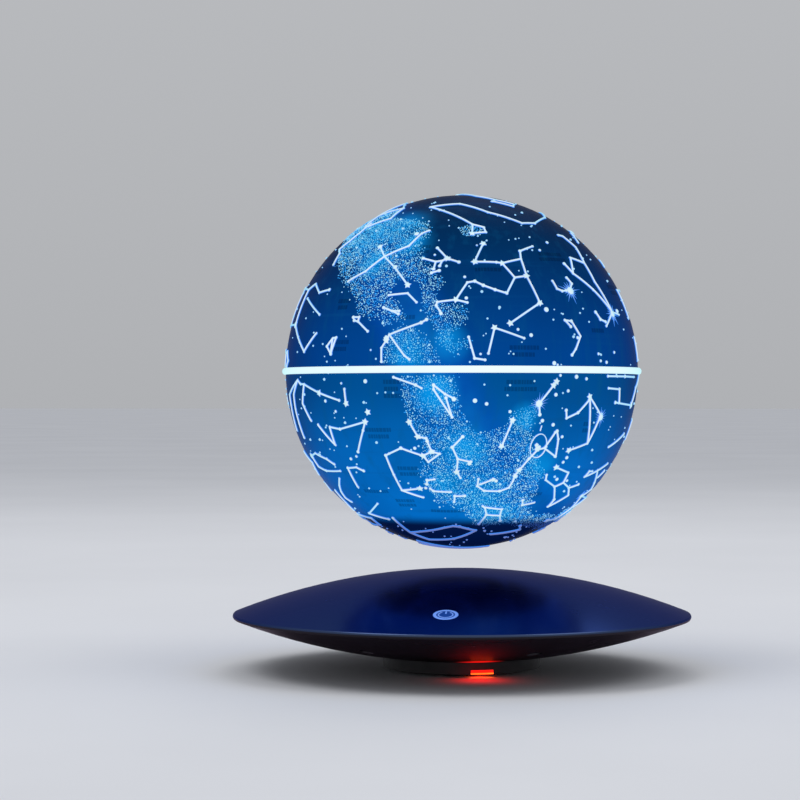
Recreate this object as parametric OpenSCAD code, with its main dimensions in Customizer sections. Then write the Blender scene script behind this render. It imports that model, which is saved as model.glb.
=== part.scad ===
// Levitating celestial globe: a hollow star globe that floats on magnetism above a saucer-shaped base.
// Millimetres, +Z up. The origin is on the table, under the centre of the base. The touch icon is at -Y
// and the power inlet at +Y. The globe's north pole is up.

/* [Globe] */
// Outer diameter of the globe's shell
globe_d = 150; // [146:1:152]
// Thickness of the globe's shell
globe_wall = 1.6; // [1.4:0.1:1.8]
// Height of the luminous band round the equator
band_h = 2.8; // [2.4:0.1:3.2]
// How far the band stands proud of the shell
band_proud = 1.5; // [1.2:0.1:1.8]
// Air gap between the floating globe and the top of the base
float_gap = 9.5; // [8:0.5:14]

/* [Base saucer] */
// Diameter of the base over its rim
base_d = 195; // [193:1:198]
// Height of the rim's parting plane above the table
rim_z = 23.3; // [23.1:0.1:23.6]
// Rise of the dome above the parting plane
dome_rise = 19.3; // [19.1:0.1:20.5]
// Depth of the underside's bowl below the parting plane, on the axis
bowl_drop = 19; // [18.8:0.1:19.1]
// Wall thickness of the two covers
cover_wall = 2.2; // [2.2:0.1:2.4]
// Radius of the rounded rim
rim_r = 1.3; // [1.2:0.1:1.5]

/* [Foot] */
// Diameter of the foot that the saucer stands on
foot_d = 67; // [66.5:0.1:68]
// Gap that the rubber feet leave under the foot
foot_gap = 1.5; // [1.3:0.1:1.6]
// Radius of each rubber foot
rubber_r = 5; // [4.5:0.1:5.5]

/* [Touch icon and status light] */
// Diameter of the round touch icon
icon_d = 10.2; // [9.8:0.1:10.6]
// Distance of the touch icon from the axis
icon_reach = 79.4; // [78:0.2:79.6]
// Angle of the status light, from the front towards the right
status_angle = 19.5; // [10:0.5:30]

/* [Levitation drive] */
// Outer radius of the ring magnet in the base
ring_magnet_r = 54; // [52:0.5:54]
// Distance of each coil from the axis
coil_reach = 21; // [20.5:0.1:21.2]
// Radius of a coil's flanges
coil_r = 12.5; // [12:0.1:12.6]
// Radius of the disc magnet in the globe
disc_magnet_r = 19; // [18:0.5:19]

/* [Power inlet] */
// Radius of the inlet's bore
inlet_bore_r = 3.15; // [3.1:0.05:3.2]
// Radius of the inlet's centre pin
inlet_pin_r = 1; // [0.9:0.05:1.1]
// Width of the channel that the plug lies in
channel_w = 13; // [12.5:0.1:13.5]

/* [Hidden] */
$fn = 96;
clear = 0.1;
far = 200;

// Globe, worked out from its driving sizes
globe_r = globe_d / 2;
globe_z = rim_z + dome_rise + float_gap + globe_r;
cavity_r = globe_r - globe_wall;
band_half = band_h / 2;
tongue_w = 1.6;
tongue_half = 4.5;
tongue_r = sqrt(pow(cavity_r, 2) - pow(tongue_half, 2)) - clear;
tray_top = -(globe_r - 11.6);
tray_t = 2;
tray_under = tray_top - tray_t;
tray_r = sqrt(pow(cavity_r, 2) - pow(tray_under, 2)) - 0.2;
cup_r = disc_magnet_r + 0.3;
cup_wall = 1.4;
magnet_low = -(sqrt(pow(cavity_r, 2) - pow(disc_magnet_r, 2)) - 0.3);
magnet_top = tray_under + 0.8;
tray_screw_reach = 30;
tray_post_r = 2.6;
receiver_r = tray_screw_reach - tray_post_r - 0.3;
lamp_board_r = 22;
lamp_board_t = 1.2;
lamp_board_low = tray_top + 1.6;
lamp_count = 8;
lamp_screw_reach = 18;

// Saucer, worked out from its driving sizes. Heights marked _rel are measured from the parting plane.
base_r = base_d / 2;
nose_reach = base_r - rim_r;
nose_edge = 0.97 * rim_r;
dome_r = cap_radius(dome_rise);
bowl_r = cap_radius(bowl_drop);
top_cavity_r = 87.6;
lip_r = top_cavity_r - 0.2;
lip_wall = 1.5;
lip_h = 2;
access_r = 26;
foot_r = foot_d / 2;
foot_bore_r = foot_r - 2.5;
foot_plate_r = foot_bore_r - 0.2;
foot_plate_t = 2;
foot_screw_reach = 29;
foot_boss_top = 12;
rubber_reach = 21.5;
rubber_sunk = 0.8;
vent_count = 5;

// Cover screws
cover_screw_count = 6;
cover_screw_reach = 68;
screw_r = 1.45;
screw_hole_r = 1.55;
screw_head_r = 2.7;
screw_head_h = 1.7;
counterbore_r = 3.1;
cover_seat_rel = -5.6;
cover_screw_l = 11;

// Carrier plate with the drive on it
carrier_z = 21;
carrier_t = 1.5;
carrier_top = carrier_z + carrier_t;
carrier_r = 62;
carrier_screw_reach = 58;
ring_magnet_in = 38;
ring_magnet_h = 10;
coil_h = 12.4;
core_r = 4;
bobbin_r = 5.2;
flange_t = 1;
winding_r = coil_r - 0.7;
lead_hole_reach = 35.8;
hall_board_w = 11;
hall_board_t = 1.2;
hall_post_h = 7.5;
former_t = 0.8;
spiral_h = 1;

// Main board
board_z = foot_boss_top;
board_t = 1.6;
board_top = board_z + board_t;
board_r = 33;
board_screw_reach = 29;

// Power inlet
inlet_z = 17.2;
inlet_face = 56;
inlet_wall = 1.8;
inlet_w = 9;
inlet_l = 12.2;
inlet_nose_r = 4;
inlet_depth = 10.5;
inlet_back = inlet_face - inlet_wall - inlet_l;
pin_root_r = inlet_pin_r + 0.4;
pin_tip_l = 0.4;
channel_wall = 1.8;
block_w = channel_w + 2 * channel_wall;

// Touch icon
icon_r = icon_d / 2;
icon_tilt = asin(icon_reach / dome_r);
icon_z = rim_z + sag_top(icon_reach);
touch_board_w = 22;
touch_board_l = 9;
touch_board_t = 1;
touch_board_drop = cover_wall + 3;
touch_screw_x = 8.5;

// Status light
status_w = 9.6;
status_h = 1.7;
status_led_low = foot_gap + 0.2;
status_led_h = 2.6;
status_dir = status_angle - 90;

// Leads, each in its own upright plane through the axis: [distance from the axis, height]
lead_r = 0.9;
dc_lead_route = [[40.5, 17.2], [39.5, 17.2], [38.5, 17.2], [35.5, 17.8], [32, 18.6], [28.5, 19], [26, 19.1],
                 [24.4, 18.4], [24, 17.5], [24, 17], [24, 16.6]];
touch_lead_route = [[75, 25.2], [74.5, 23.7], [73.2, 22.2], [71, 20.8], [68, 19.6], [63, 18.4], [57, 17.2],
                    [50, 16.4], [43, 16.2], [37, 17], [32, 18.4], [28.6, 19], [26, 19.1], [24.4, 18.4],
                    [24, 17.5], [24, 17], [24, 16.6]];
coil_lead_route = [[32.85, 26], [34.4, 25.9], [35.5, 25.2], [35.8, 23.8], [35.8, 21.6], [35.6, 19.8],
                   [34, 18.8], [31, 19], [28, 19.1], [26, 18.6], [25, 17.6], [25, 17.1], [25, 16.6]];
spiral_lead_route = [[32.95, 36.65], [34.4, 36.5], [35.5, 35.8], [35.8, 34.4], [35.8, 30], [35.8, 25],
                     [35.8, 21.6], [35.6, 19.8], [34, 18.8], [31, 19], [28, 19.1], [26, 18.6], [25, 17.6],
                     [25, 17.1], [25, 16.6]];
coil_angles = [45, 135, 225, 315];
socket_reach = 24;

// Radius of the sphere whose cap rises to the given height and meets the rim
function cap_radius(rise) = (pow(nose_reach, 2) + pow(rise - nose_edge, 2)) / (2 * (rise - nose_edge));

// Height of the dome's outer surface above the parting plane, at a distance from the axis
function sag_top(reach) = sqrt(pow(dome_r, 2) - pow(reach, 2)) - (dome_r - dome_rise);

// Height of the bowl's outer surface above the table, at a distance from the axis
function bowl_z(reach) = rim_z + bowl_r - bowl_drop - sqrt(pow(bowl_r, 2) - pow(reach, 2));

// Points of a smooth curve through a route, with a few steps in each stretch
function curve_point(a, b, c, d, t) =
    0.5 * (2 * b + (c - a) * t + (2 * a - 5 * b + 4 * c - d) * t * t + (3 * b - a - 3 * c + d) * t * t * t);
function smooth(route, steps = 3) = concat(
    [for (i = [0:len(route) - 2], k = [0:steps - 1])
        let (before = route[max(i - 1, 0)], after = route[min(i + 2, len(route) - 1)])
        curve_point(before, route[i], route[i + 1], after, k / steps)],
    [route[len(route) - 1]]
);

// A round lead along a route of [reach, height] points in the plane y = 0
module lead(route, r = lead_r, sides = 8) {
    line = smooth(route);
    last = len(line) - 1;
    ring_points = [for (i = [0:last], s = [0:sides - 1])
        let (ahead = line[min(i + 1, last)] - line[max(i - 1, 0)],
             along = ahead / norm(ahead),
             a = 360 * s / sides,
             out = r * cos(a))
        [line[i][0] - along[1] * out, r * sin(a), line[i][1] + along[0] * out]];
    walls = [for (i = [0:last - 1], s = [0:sides - 1], half = [0, 1])
        let (n = (s + 1) % sides, here = i * sides, next = here + sides)
        half == 0 ? [here + s, here + n, next + n] : [here + s, next + n, next + s]];
    start_cap = [for (s = [sides - 1:-1:0]) s];
    end_cap = [for (s = [0:sides - 1]) last * sides + s];
    polyhedron(points = ring_points, faces = concat(walls, [start_cap, end_cap]));
}

module ring(r_out, r_in, h, z = 0) {
    translate([0, 0, z]) difference() {
        cylinder(r = r_out, h = h);
        translate([0, 0, -1]) cylinder(r = r_in, h = h + 2);
    }
}

module around(count, reach, start = 0) {
    for (i = [0:count - 1]) rotate([0, 0, start + 360 * i / count]) translate([reach, 0, 0]) children();
}

// A screw that points down from its seat: head above z = 0, shank below
module screw(shank_r, shank_l, head_r, head_h) {
    difference() {
        union() {
            translate([0, 0, -shank_l]) cylinder(r = shank_r, h = shank_l + 0.01);
            cylinder(r = head_r, h = head_h);
        }
        translate([0, 0, head_h - 0.7]) {
            cube([2.4, 0.6, 2], center = true);
            cube([0.6, 2.4, 2], center = true);
        }
    }
}

// ---------------------------------------------------------------- saucer

// Half section of the saucer's outside, shrunk by inset and cut off at reach
module saucer_section(inset = 0, reach = 0) {
    intersection() {
        translate([0, dome_rise - dome_r]) circle(dome_r - inset, $fn = 480);
        translate([0, bowl_r - bowl_drop]) circle(bowl_r - inset, $fn = 480);
        union() {
            translate([0, -far / 2]) square([reach > 0 ? reach : nose_reach, far]);
            if (reach == 0) translate([nose_reach, 0]) circle(rim_r);
        }
    }
}

module saucer(inset = 0, reach = 0) {
    translate([0, 0, rim_z]) rotate_extrude() saucer_section(inset, reach);
}

module top_shell() {
    translate([0, 0, rim_z]) rotate_extrude() difference() {
        intersection() {
            saucer_section();
            square([far, far]);
        }
        saucer_section(cover_wall, top_cavity_r);
    }
}

// Places children on the dome at the touch icon, with z = 0 on the surface and +Z outwards
module at_icon() {
    translate([0, -icon_reach, icon_z]) rotate([icon_tilt, 0, 0]) children();
}

module top_cover() {
    color([0.02, 0.02, 0.03]) difference() {
        union() {
            top_shell();
            intersection() {
                around(cover_screw_count, cover_screw_reach)
                    translate([0, 0, rim_z]) cylinder(r = 3.2, h = far);
                saucer(cover_wall / 2, top_cavity_r);
            }
            intersection() {
                at_icon() for (x = [-touch_screw_x, touch_screw_x])
                    translate([x, 0, -touch_board_drop]) cylinder(r = 1.9, h = touch_board_drop);
                saucer(cover_wall / 2, top_cavity_r);
            }
        }
        around(cover_screw_count, cover_screw_reach)
            translate([0, 0, rim_z - 1]) cylinder(r = screw_hole_r, h = 7.4);
        at_icon() translate([0, 0, -cover_wall - 1]) cylinder(r = icon_r + clear, h = cover_wall + 3);
        at_icon() for (x = [-touch_screw_x, touch_screw_x])
            translate([x, 0, -touch_board_drop - 1]) cylinder(r = 0.9, h = 3.6);
    }
}

// Upright posts that start inside the bowl's wall and end at the given height
module posts(count, reach, r, top, start = 0) {
    low = bowl_z(reach + r) + 0.05;
    around(count, reach, start) translate([0, 0, low]) cylinder(r = r, h = top - low);
}

// The block that the inlet's channel is cut through, fitted to the bowl
module channel_block() {
    low_reach = inlet_face - inlet_wall;
    intersection() {
        translate([-block_w / 2, low_reach, 0]) cube([block_w, far, rim_z + 1.4]);
        translate([0, 0, rim_z]) rotate_extrude() intersection() {
            translate([0, bowl_r - bowl_drop]) circle(bowl_r - cover_wall / 2, $fn = 480);
            translate([low_reach - 5, -bowl_drop])
                square([lip_r - lip_wall / 2 - low_reach + 5, bowl_drop + 1.4]);
        }
    }
}

module bottom_cover() {
    color([0.02, 0.02, 0.03]) difference() {
        union() {
            translate([0, 0, rim_z]) rotate_extrude() difference() {
                intersection() {
                    saucer_section();
                    union() {
                        translate([access_r, -far]) square([far, far]);
                        translate([lip_r - lip_wall, -1]) square([lip_wall, lip_h + 1]);
                    }
                }
                saucer_section(cover_wall, lip_r - lip_wall);
            }
            channel_block();
            posts(cover_screw_count, cover_screw_reach, 4, rim_z);
            posts(4, carrier_screw_reach, 3.6, carrier_z, 45);
            posts(4, foot_screw_reach, 2.8, foot_boss_top, 45);
            posts(4, board_screw_reach, 2.8, board_z);
        }
        around(cover_screw_count, cover_screw_reach) {
            translate([0, 0, -1]) cylinder(r = screw_hole_r, h = far);
            translate([0, 0, -1]) cylinder(r = counterbore_r, h = rim_z + cover_seat_rel + 1);
        }
        around(4, carrier_screw_reach, 45)
            translate([0, 0, carrier_z - 5.5]) cylinder(r = screw_hole_r, h = 6);
        around(4, foot_screw_reach, 45) translate([0, 0, -1]) cylinder(r = 1.3, h = 12);
        around(4, board_screw_reach) translate([0, 0, board_z - 3.4]) cylinder(r = 1.1, h = 4);
        translate([-channel_w / 2, inlet_face, -1]) cube([channel_w, far, rim_z + 1]);
        translate([0, inlet_face - inlet_wall - 1, inlet_z]) rotate([-90, 0, 0])
            cylinder(r = inlet_nose_r + clear, h = 4);
    }
}

// ---------------------------------------------------------------- foot

module foot_screw_holes(r) {
    around(4, foot_screw_reach, 45) translate([0, 0, -1]) cylinder(r = r, h = 20);
}

module foot_ring() {
    flange_low = foot_gap + foot_plate_t;
    color([0.03, 0.03, 0.035]) difference() {
        rotate_extrude() difference() {
            translate([access_r, foot_gap]) square([foot_r - access_r, 10]);
            translate([0, rim_z + bowl_r - bowl_drop]) circle(bowl_r, $fn = 480);
            translate([0, foot_gap - 1]) square([foot_bore_r, foot_plate_t + 1]);
        }
        foot_screw_holes(1.3);
        rotate([0, 0, status_dir]) translate([foot_bore_r - 2, -status_w / 2 - clear, foot_gap - 1])
            cube([10, status_w + 2 * clear, status_h + 1 + clear]);
        rotate([0, 0, status_dir]) translate([foot_bore_r - 4.6, -2.4, flange_low - 1])
            cube([4.8, 4.8, status_led_low + status_led_h - flange_low + 1]);
    }
}

module foot_plate() {
    color([0.05, 0.05, 0.055]) difference() {
        translate([0, 0, foot_gap]) cylinder(r = foot_plate_r, h = foot_plate_t - clear);
        around(4, rubber_reach)
            translate([0, 0, -1]) cylinder(r = rubber_r + clear, h = foot_gap + rubber_sunk + 1);
        foot_screw_holes(1.3);
        around(4, foot_screw_reach, 45) translate([0, 0, -1]) cylinder(r = 1.9, h = foot_gap + 1 + 1.1);
        for (i = [0:vent_count - 1])
            translate([-7, 3.4 * (i - (vent_count - 1) / 2) - 0.7, -1]) cube([14, 1.4, 10]);
        rotate([0, 0, status_dir]) translate([foot_plate_r - 4.6, -3, -1]) cube([8, 6, 10]);
    }
}

module rubber_feet() {
    color([0.06, 0.06, 0.06]) around(4, rubber_reach) rotate_extrude() difference() {
        square([rubber_r, foot_gap + rubber_sunk]);
        translate([rubber_r - 0.5, -0.01]) polygon([[0, 0], [1, 0], [1, 1]]);
    }
}

module foot_plate_screws() {
    color([0.35, 0.35, 0.37]) around(4, foot_screw_reach, 45)
        translate([0, 0, foot_gap + 1.1]) rotate([180, 0, 0]) screw(1.2, 8, 1.8, 1.1);
}

module cover_screws() {
    color([0.35, 0.35, 0.37]) around(cover_screw_count, cover_screw_reach)
        translate([0, 0, rim_z + cover_seat_rel]) rotate([180, 0, 0])
            screw(screw_r, cover_screw_l, screw_head_r, screw_head_h);
}

// ---------------------------------------------------------------- touch icon and status light

module touch_lens() {
    color([0.75, 0.85, 1]) intersection() {
        top_shell();
        at_icon() translate([0, 0, -cover_wall - 1]) cylinder(r = icon_r, h = cover_wall + 3);
    }
}

module touch_sensor_board() {
    color([0.05, 0.3, 0.15]) at_icon() difference() {
        translate([-touch_board_w / 2, -touch_board_l / 2, -touch_board_drop - touch_board_t])
            cube([touch_board_w, touch_board_l, touch_board_t]);
        for (x = [-touch_screw_x, touch_screw_x])
            translate([x, 0, -far / 2]) cylinder(r = 1.1, h = far);
    }
}

module touch_spring() {
    spring_turns = 3;
    spring_h = touch_board_drop - cover_wall - 0.3;
    wire = 0.3;
    color([0.75, 0.75, 0.72]) at_icon() translate([0, 0, -touch_board_drop]) {
        for (i = [0:spring_turns - 1])
            translate([0, 0, wire + i * (spring_h - 2 * wire) / (spring_turns - 1)])
                rotate_extrude() translate([3.4, 0]) circle(wire, $fn = 16);
        around(3, 3.4) cylinder(r = wire * 0.8, h = spring_h);
    }
}

module touch_backlight_led() {
    color([0.9, 0.95, 1]) at_icon() translate([-1.4, -0.9, -touch_board_drop]) cube([2.8, 1.8, 0.9]);
}

module touch_board_screws() {
    color([0.35, 0.35, 0.37]) at_icon() for (x = [-touch_screw_x, touch_screw_x])
        translate([x, 0, -touch_board_drop - touch_board_t]) rotate([180, 0, 0]) screw(0.85, 3.4, 1.6, 1);
}

module status_window() {
    color([1, 0.15, 0.05]) intersection() {
        ring(foot_r, foot_bore_r, status_h, foot_gap);
        rotate([0, 0, status_dir]) translate([0, -status_w / 2, 0]) cube([foot_r + 5, status_w, 10]);
    }
}

module status_led() {
    color([1, 0.3, 0.2]) rotate([0, 0, status_dir])
        translate([foot_bore_r - 3.9, -1.6, status_led_low]) cube([3, 3.2, status_led_h]);
}

// ---------------------------------------------------------------- power inlet

// Places children at the inlet, at a distance from the axis, with +Z towards the plug
module at_inlet(reach) {
    translate([0, reach, inlet_z]) rotate([-90, 0, 0]) children();
}

module dc_jack_housing() {
    color([0.04, 0.04, 0.04]) difference() {
        union() {
            translate([-inlet_w / 2, inlet_back, inlet_z - inlet_w / 2]) cube([inlet_w, inlet_l, inlet_w]);
            at_inlet(inlet_back + 1) cylinder(r = inlet_nose_r, h = inlet_face - inlet_back - 1);
        }
        at_inlet(inlet_face - inlet_depth) cylinder(r = inlet_bore_r, h = inlet_depth + 1);
        at_inlet(inlet_back - 1) cylinder(r = pin_root_r, h = inlet_l);
    }
}

// The centre pin has a thicker root in the housing's back wall
module dc_jack_pin() {
    root_low = inlet_back - 1.5;
    root_high = inlet_face - inlet_depth;
    tip = inlet_face - 1.2;
    color([0.8, 0.8, 0.78]) union() {
        at_inlet(root_low) cylinder(r = pin_root_r, h = root_high - root_low);
        at_inlet(root_high - 1) cylinder(r = inlet_pin_r, h = tip - pin_tip_l - root_high + 1);
        at_inlet(tip - pin_tip_l) cylinder(r1 = inlet_pin_r, r2 = inlet_pin_r - 0.3, h = pin_tip_l);
    }
}

module dc_jack_contacts() {
    color([0.8, 0.78, 0.7]) for (x = [-3, 3])
        translate([x - 0.9, inlet_back - 2.2, inlet_z - 2.2]) cube([1.8, 2.2, 0.5]);
}

// ---------------------------------------------------------------- levitation drive

module carrier_plate() {
    color([0.6, 0.61, 0.62]) difference() {
        translate([0, 0, carrier_z]) cylinder(r = carrier_r, h = carrier_t);
        around(4, carrier_screw_reach, 45) translate([0, 0, 1]) cylinder(r = screw_hole_r, h = far);
        around(8, lead_hole_reach) translate([0, 0, 1]) cylinder(r = 1.3, h = far);
        translate([-inlet_w / 2 - 1.5, inlet_back - 3.5, 1]) cube([inlet_w + 3, far, far]);
        translate([-block_w / 2 - 0.4, inlet_face - inlet_wall - 0.4, 1]) cube([block_w + 0.8, far, far]);
    }
}

module carrier_screws() {
    color([0.35, 0.35, 0.37]) around(4, carrier_screw_reach, 45)
        translate([0, 0, carrier_top]) screw(screw_r, 6, screw_head_r, screw_head_h);
}

module ring_magnet() {
    color([0.13, 0.13, 0.14]) ring(ring_magnet_r, ring_magnet_in, ring_magnet_h, carrier_top);
}

module at_coil(i) {
    rotate([0, 0, coil_angles[i - 1]]) translate([coil_reach, 0, carrier_top]) children();
}

module coil_core(i) {
    color([0.45, 0.45, 0.47]) at_coil(i) cylinder(r = core_r, h = coil_h);
}

module coil_bobbin(i) {
    color([0.85, 0.83, 0.78]) at_coil(i) difference() {
        union() {
            cylinder(r = bobbin_r, h = coil_h);
            cylinder(r = coil_r, h = flange_t);
            translate([0, 0, coil_h - flange_t]) cylinder(r = coil_r, h = flange_t);
        }
        translate([0, 0, -1]) cylinder(r = core_r, h = coil_h + 2);
    }
}

module coil_winding(i) {
    color([0.72, 0.38, 0.18]) at_coil(i) ring(winding_r, bobbin_r, coil_h - 2 * flange_t, flange_t);
}

module hall_sensor_post() {
    color([0.1, 0.1, 0.1]) translate([0, 0, carrier_top]) {
        cylinder(r = 3.4, h = hall_post_h);
        cylinder(r = 6, h = 1.2);
    }
}

module hall_sensor_board() {
    color([0.05, 0.3, 0.15]) translate([-hall_board_w / 2, -hall_board_w / 2, carrier_top + hall_post_h])
        cube([hall_board_w, hall_board_w, hall_board_t]);
}

module hall_sensors() {
    top = carrier_top + hall_post_h + hall_board_t;
    color([0.08, 0.08, 0.08]) {
        translate([-3.6, -2, top]) cube([1.6, 4, 3]);
        translate([-1, 2.4, top]) cube([4, 1.6, 3]);
        translate([1.2, -3.6, top]) cube([3, 4, 1.6]);
    }
}

module transmitter_former() {
    color([0.85, 0.83, 0.78]) ring(coil_reach + coil_r, 12, former_t, carrier_top + coil_h);
}

// A flat coil: rings of wire side by side, joined by a thin bonding layer under them
module flat_coil(r_out, r_in, h, z) {
    turns = 8;
    pitch = (r_out - r_in) / turns;
    translate([0, 0, z]) rotate_extrude() union() {
        translate([r_in, 0]) square([r_out - r_in, h * 0.4]);
        for (i = [0:turns - 1]) translate([r_in + (i + 0.1) * pitch, 0]) square([pitch * 0.8, h]);
    }
}

module transmitter_coil() {
    color([0.72, 0.38, 0.18])
        flat_coil(coil_reach + coil_r - 0.6, 18, spiral_h, carrier_top + coil_h + former_t);
}

// ---------------------------------------------------------------- main board

module main_board() {
    color([0.05, 0.3, 0.15]) difference() {
        translate([0, 0, board_z]) cylinder(r = board_r, h = board_t);
        around(4, board_screw_reach) translate([0, 0, 1]) cylinder(r = 1.2, h = far);
        around(4, foot_screw_reach, 45) translate([0, 0, 1]) cylinder(r = 1.6, h = far);
        translate([0, 0, 1]) cylinder(r = 2.5, h = far);
    }
}

module main_board_screws() {
    color([0.35, 0.35, 0.37]) around(4, board_screw_reach)
        translate([0, 0, board_top]) screw(1, 4.4, 1.9, 1.3);
}

module controller_chip() {
    color([0.07, 0.07, 0.07]) translate([-14, 4, board_top]) cube([7, 7, 1.5]);
}

module coil_driver_chips() {
    color([0.07, 0.07, 0.07]) for (x = [-1, 1], y = [-1, 1])
        translate([12 * x - 2.5, 13.4 * y - 2, board_top]) cube([5, 4, 1.6]);
}

module smoothing_capacitors() {
    color([0.12, 0.13, 0.25]) for (x = [-7.4, 7.4]) translate([x, -8, board_top]) cylinder(r = 3.2, h = 6.4);
}

module choke_coil() {
    color([0.2, 0.2, 0.21]) translate([3, 2, board_top]) difference() {
        cube([7.4, 7.4, 3.8]);
        translate([3.7, 3.7, 3]) cylinder(r = 2.6, h = 2);
    }
}

// One socket for each lead that comes down to the board
module lead_sockets() {
    color([0.9, 0.88, 0.8]) for (a = [90, 270, 0, 45, 135, 225, 315]) rotate([0, 0, a])
        translate([socket_reach - 2.2, -2.2, board_top]) cube([a % 90 == 0 && a != 0 ? 3.4 : 5, 4.4, 3]);
}

module dc_lead() {
    color([0.6, 0.05, 0.05]) rotate([0, 0, 90]) lead(dc_lead_route);
}

module touch_lead() {
    color([0.85, 0.85, 0.85]) rotate([0, 0, 270]) lead(touch_lead_route);
}

module coil_leads() {
    color([0.75, 0.4, 0.2]) for (a = coil_angles) rotate([0, 0, a]) lead(coil_lead_route);
}

module transmitter_lead() {
    color([0.75, 0.4, 0.2]) lead(spiral_lead_route);
}

// ---------------------------------------------------------------- globe

module in_globe() {
    translate([0, 0, globe_z]) children();
}

module globe_shell() {
    difference() {
        sphere(r = globe_r);
        sphere(r = cavity_r);
    }
}

module upper_hemisphere() {
    color([0.05, 0.25, 0.42]) in_globe() intersection() {
        globe_shell();
        translate([0, 0, band_half]) cylinder(r = far, h = far);
    }
}

module lower_hemisphere() {
    color([0.05, 0.32, 0.6]) in_globe() difference() {
        union() {
            intersection() {
                globe_shell();
                translate([0, 0, -far - band_half]) cylinder(r = far, h = far);
            }
            intersection() {
                around(3, tray_screw_reach, 90) translate([0, 0, -globe_r])
                    cylinder(r = tray_post_r, h = globe_r + tray_under);
                sphere(r = cavity_r + globe_wall / 2);
            }
        }
        around(3, tray_screw_reach, 90) translate([0, 0, tray_under - 2.2]) cylinder(r = 1, h = 10);
    }
}

module equator_ring() {
    color([0.85, 0.97, 1]) in_globe() rotate_extrude() union() {
        intersection() {
            translate([cavity_r - 0.1, -band_half]) square([far, band_h]);
            union() {
                translate([0, -far / 2]) square([globe_r + band_proud - 1.6, far]);
                translate([globe_r + band_proud - 1.6, 0]) circle(1.6);
            }
        }
        translate([tongue_r - tongue_w, -tongue_half]) square([tongue_w, 2 * tongue_half]);
        translate([cavity_r - 1, -band_half]) square([1.5, band_h]);
    }
}

module magnet_tray() {
    cup_low = -(sqrt(pow(cavity_r, 2) - pow(cup_r + cup_wall, 2)) - 0.3);
    color([0.9, 0.9, 0.92]) in_globe() difference() {
        union() {
            translate([0, 0, tray_under]) cylinder(r = tray_r, h = tray_t);
            translate([0, 0, cup_low]) cylinder(r = cup_r + cup_wall, h = tray_top - cup_low);
            around(3, lamp_screw_reach, 30)
                translate([0, 0, tray_under]) cylinder(r = 2.4, h = lamp_board_low - tray_under);
        }
        translate([0, 0, cup_low - 1]) cylinder(r = cup_r, h = magnet_top + 0.3 - cup_low + 1);
        around(3, tray_screw_reach, 90) translate([0, 0, tray_under - 1]) cylinder(r = 1.15, h = 10);
        around(3, lamp_screw_reach, 30) translate([0, 0, tray_top - 0.4]) cylinder(r = 0.95, h = 10);
    }
}

module levitation_magnet() {
    color([0.8, 0.81, 0.83]) in_globe()
        translate([0, 0, magnet_low]) cylinder(r = disc_magnet_r, h = magnet_top - magnet_low);
}

module receiver_coil() {
    color([0.72, 0.38, 0.18]) in_globe() flat_coil(receiver_r, cup_r + cup_wall + 0.2, 1, tray_under - 1);
}

module tray_screws() {
    color([0.35, 0.35, 0.37]) in_globe() around(3, tray_screw_reach, 90)
        translate([0, 0, tray_top]) screw(0.95, 3.9, 1.8, 1.2);
}

module lamp_board() {
    color([0.92, 0.93, 0.95]) in_globe() difference() {
        translate([0, 0, lamp_board_low]) cylinder(r = lamp_board_r, h = lamp_board_t);
        around(3, lamp_screw_reach, 30) translate([0, 0, lamp_board_low - 1]) cylinder(r = 1.1, h = 10);
    }
}

module lamp_board_screws() {
    color([0.35, 0.35, 0.37]) in_globe() around(3, lamp_screw_reach, 30)
        translate([0, 0, lamp_board_low + lamp_board_t]) screw(0.9, 3, 1.7, 1.1);
}

module lamp_leds() {
    color([0.9, 0.97, 1]) in_globe() around(lamp_count, 13)
        translate([-1.75, -1.4, lamp_board_low + lamp_board_t]) cube([3.5, 2.8, 1.2]);
}

module rectifier_chips() {
    color([0.07, 0.07, 0.07]) in_globe() for (a = [0, 180]) rotate([0, 0, a])
        translate([3.2, -2, lamp_board_low + lamp_board_t]) cube([4.4, 4, 1.4]);
}

module lamp_capacitor() {
    color([0.12, 0.13, 0.25]) in_globe()
        translate([0, 5.6, lamp_board_low + lamp_board_t]) cylinder(r = 2, h = 4);
}

// ---------------------------------------------------------------- nodes

top_cover();
bottom_cover();
foot_ring();
foot_plate();
rubber_feet();
foot_plate_screws();
cover_screws();
touch_lens();
touch_sensor_board();
touch_spring();
touch_backlight_led();
touch_board_screws();
status_window();
status_led();
dc_jack_housing();
dc_jack_pin();
dc_jack_contacts();
carrier_plate();
carrier_screws();
ring_magnet();
for (i = [1:4]) {
    coil_core(i);
    coil_bobbin(i);
    coil_winding(i);
}
hall_sensor_post();
hall_sensor_board();
hall_sensors();
transmitter_former();
transmitter_coil();
main_board();
main_board_screws();
controller_chip();
coil_driver_chips();
smoothing_capacitors();
choke_coil();
lead_sockets();
dc_lead();
touch_lead();
coil_leads();
transmitter_lead();
upper_hemisphere();
lower_hemisphere();
equator_ring();
magnet_tray();
levitation_magnet();
receiver_coil();
tray_screws();
lamp_board();
lamp_board_screws();
lamp_leds();
rectifier_chips();
lamp_capacitor();
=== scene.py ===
"""Looks of the levitating celestial globe: a lit star map on a floating globe, over a satin black saucer.

Metres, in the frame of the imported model. The globe's star map is built from right ascension (hours) and
declination (degrees), and is turned so that the hour circle MAP_HOUR faces the camera.
"""

import math

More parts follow.
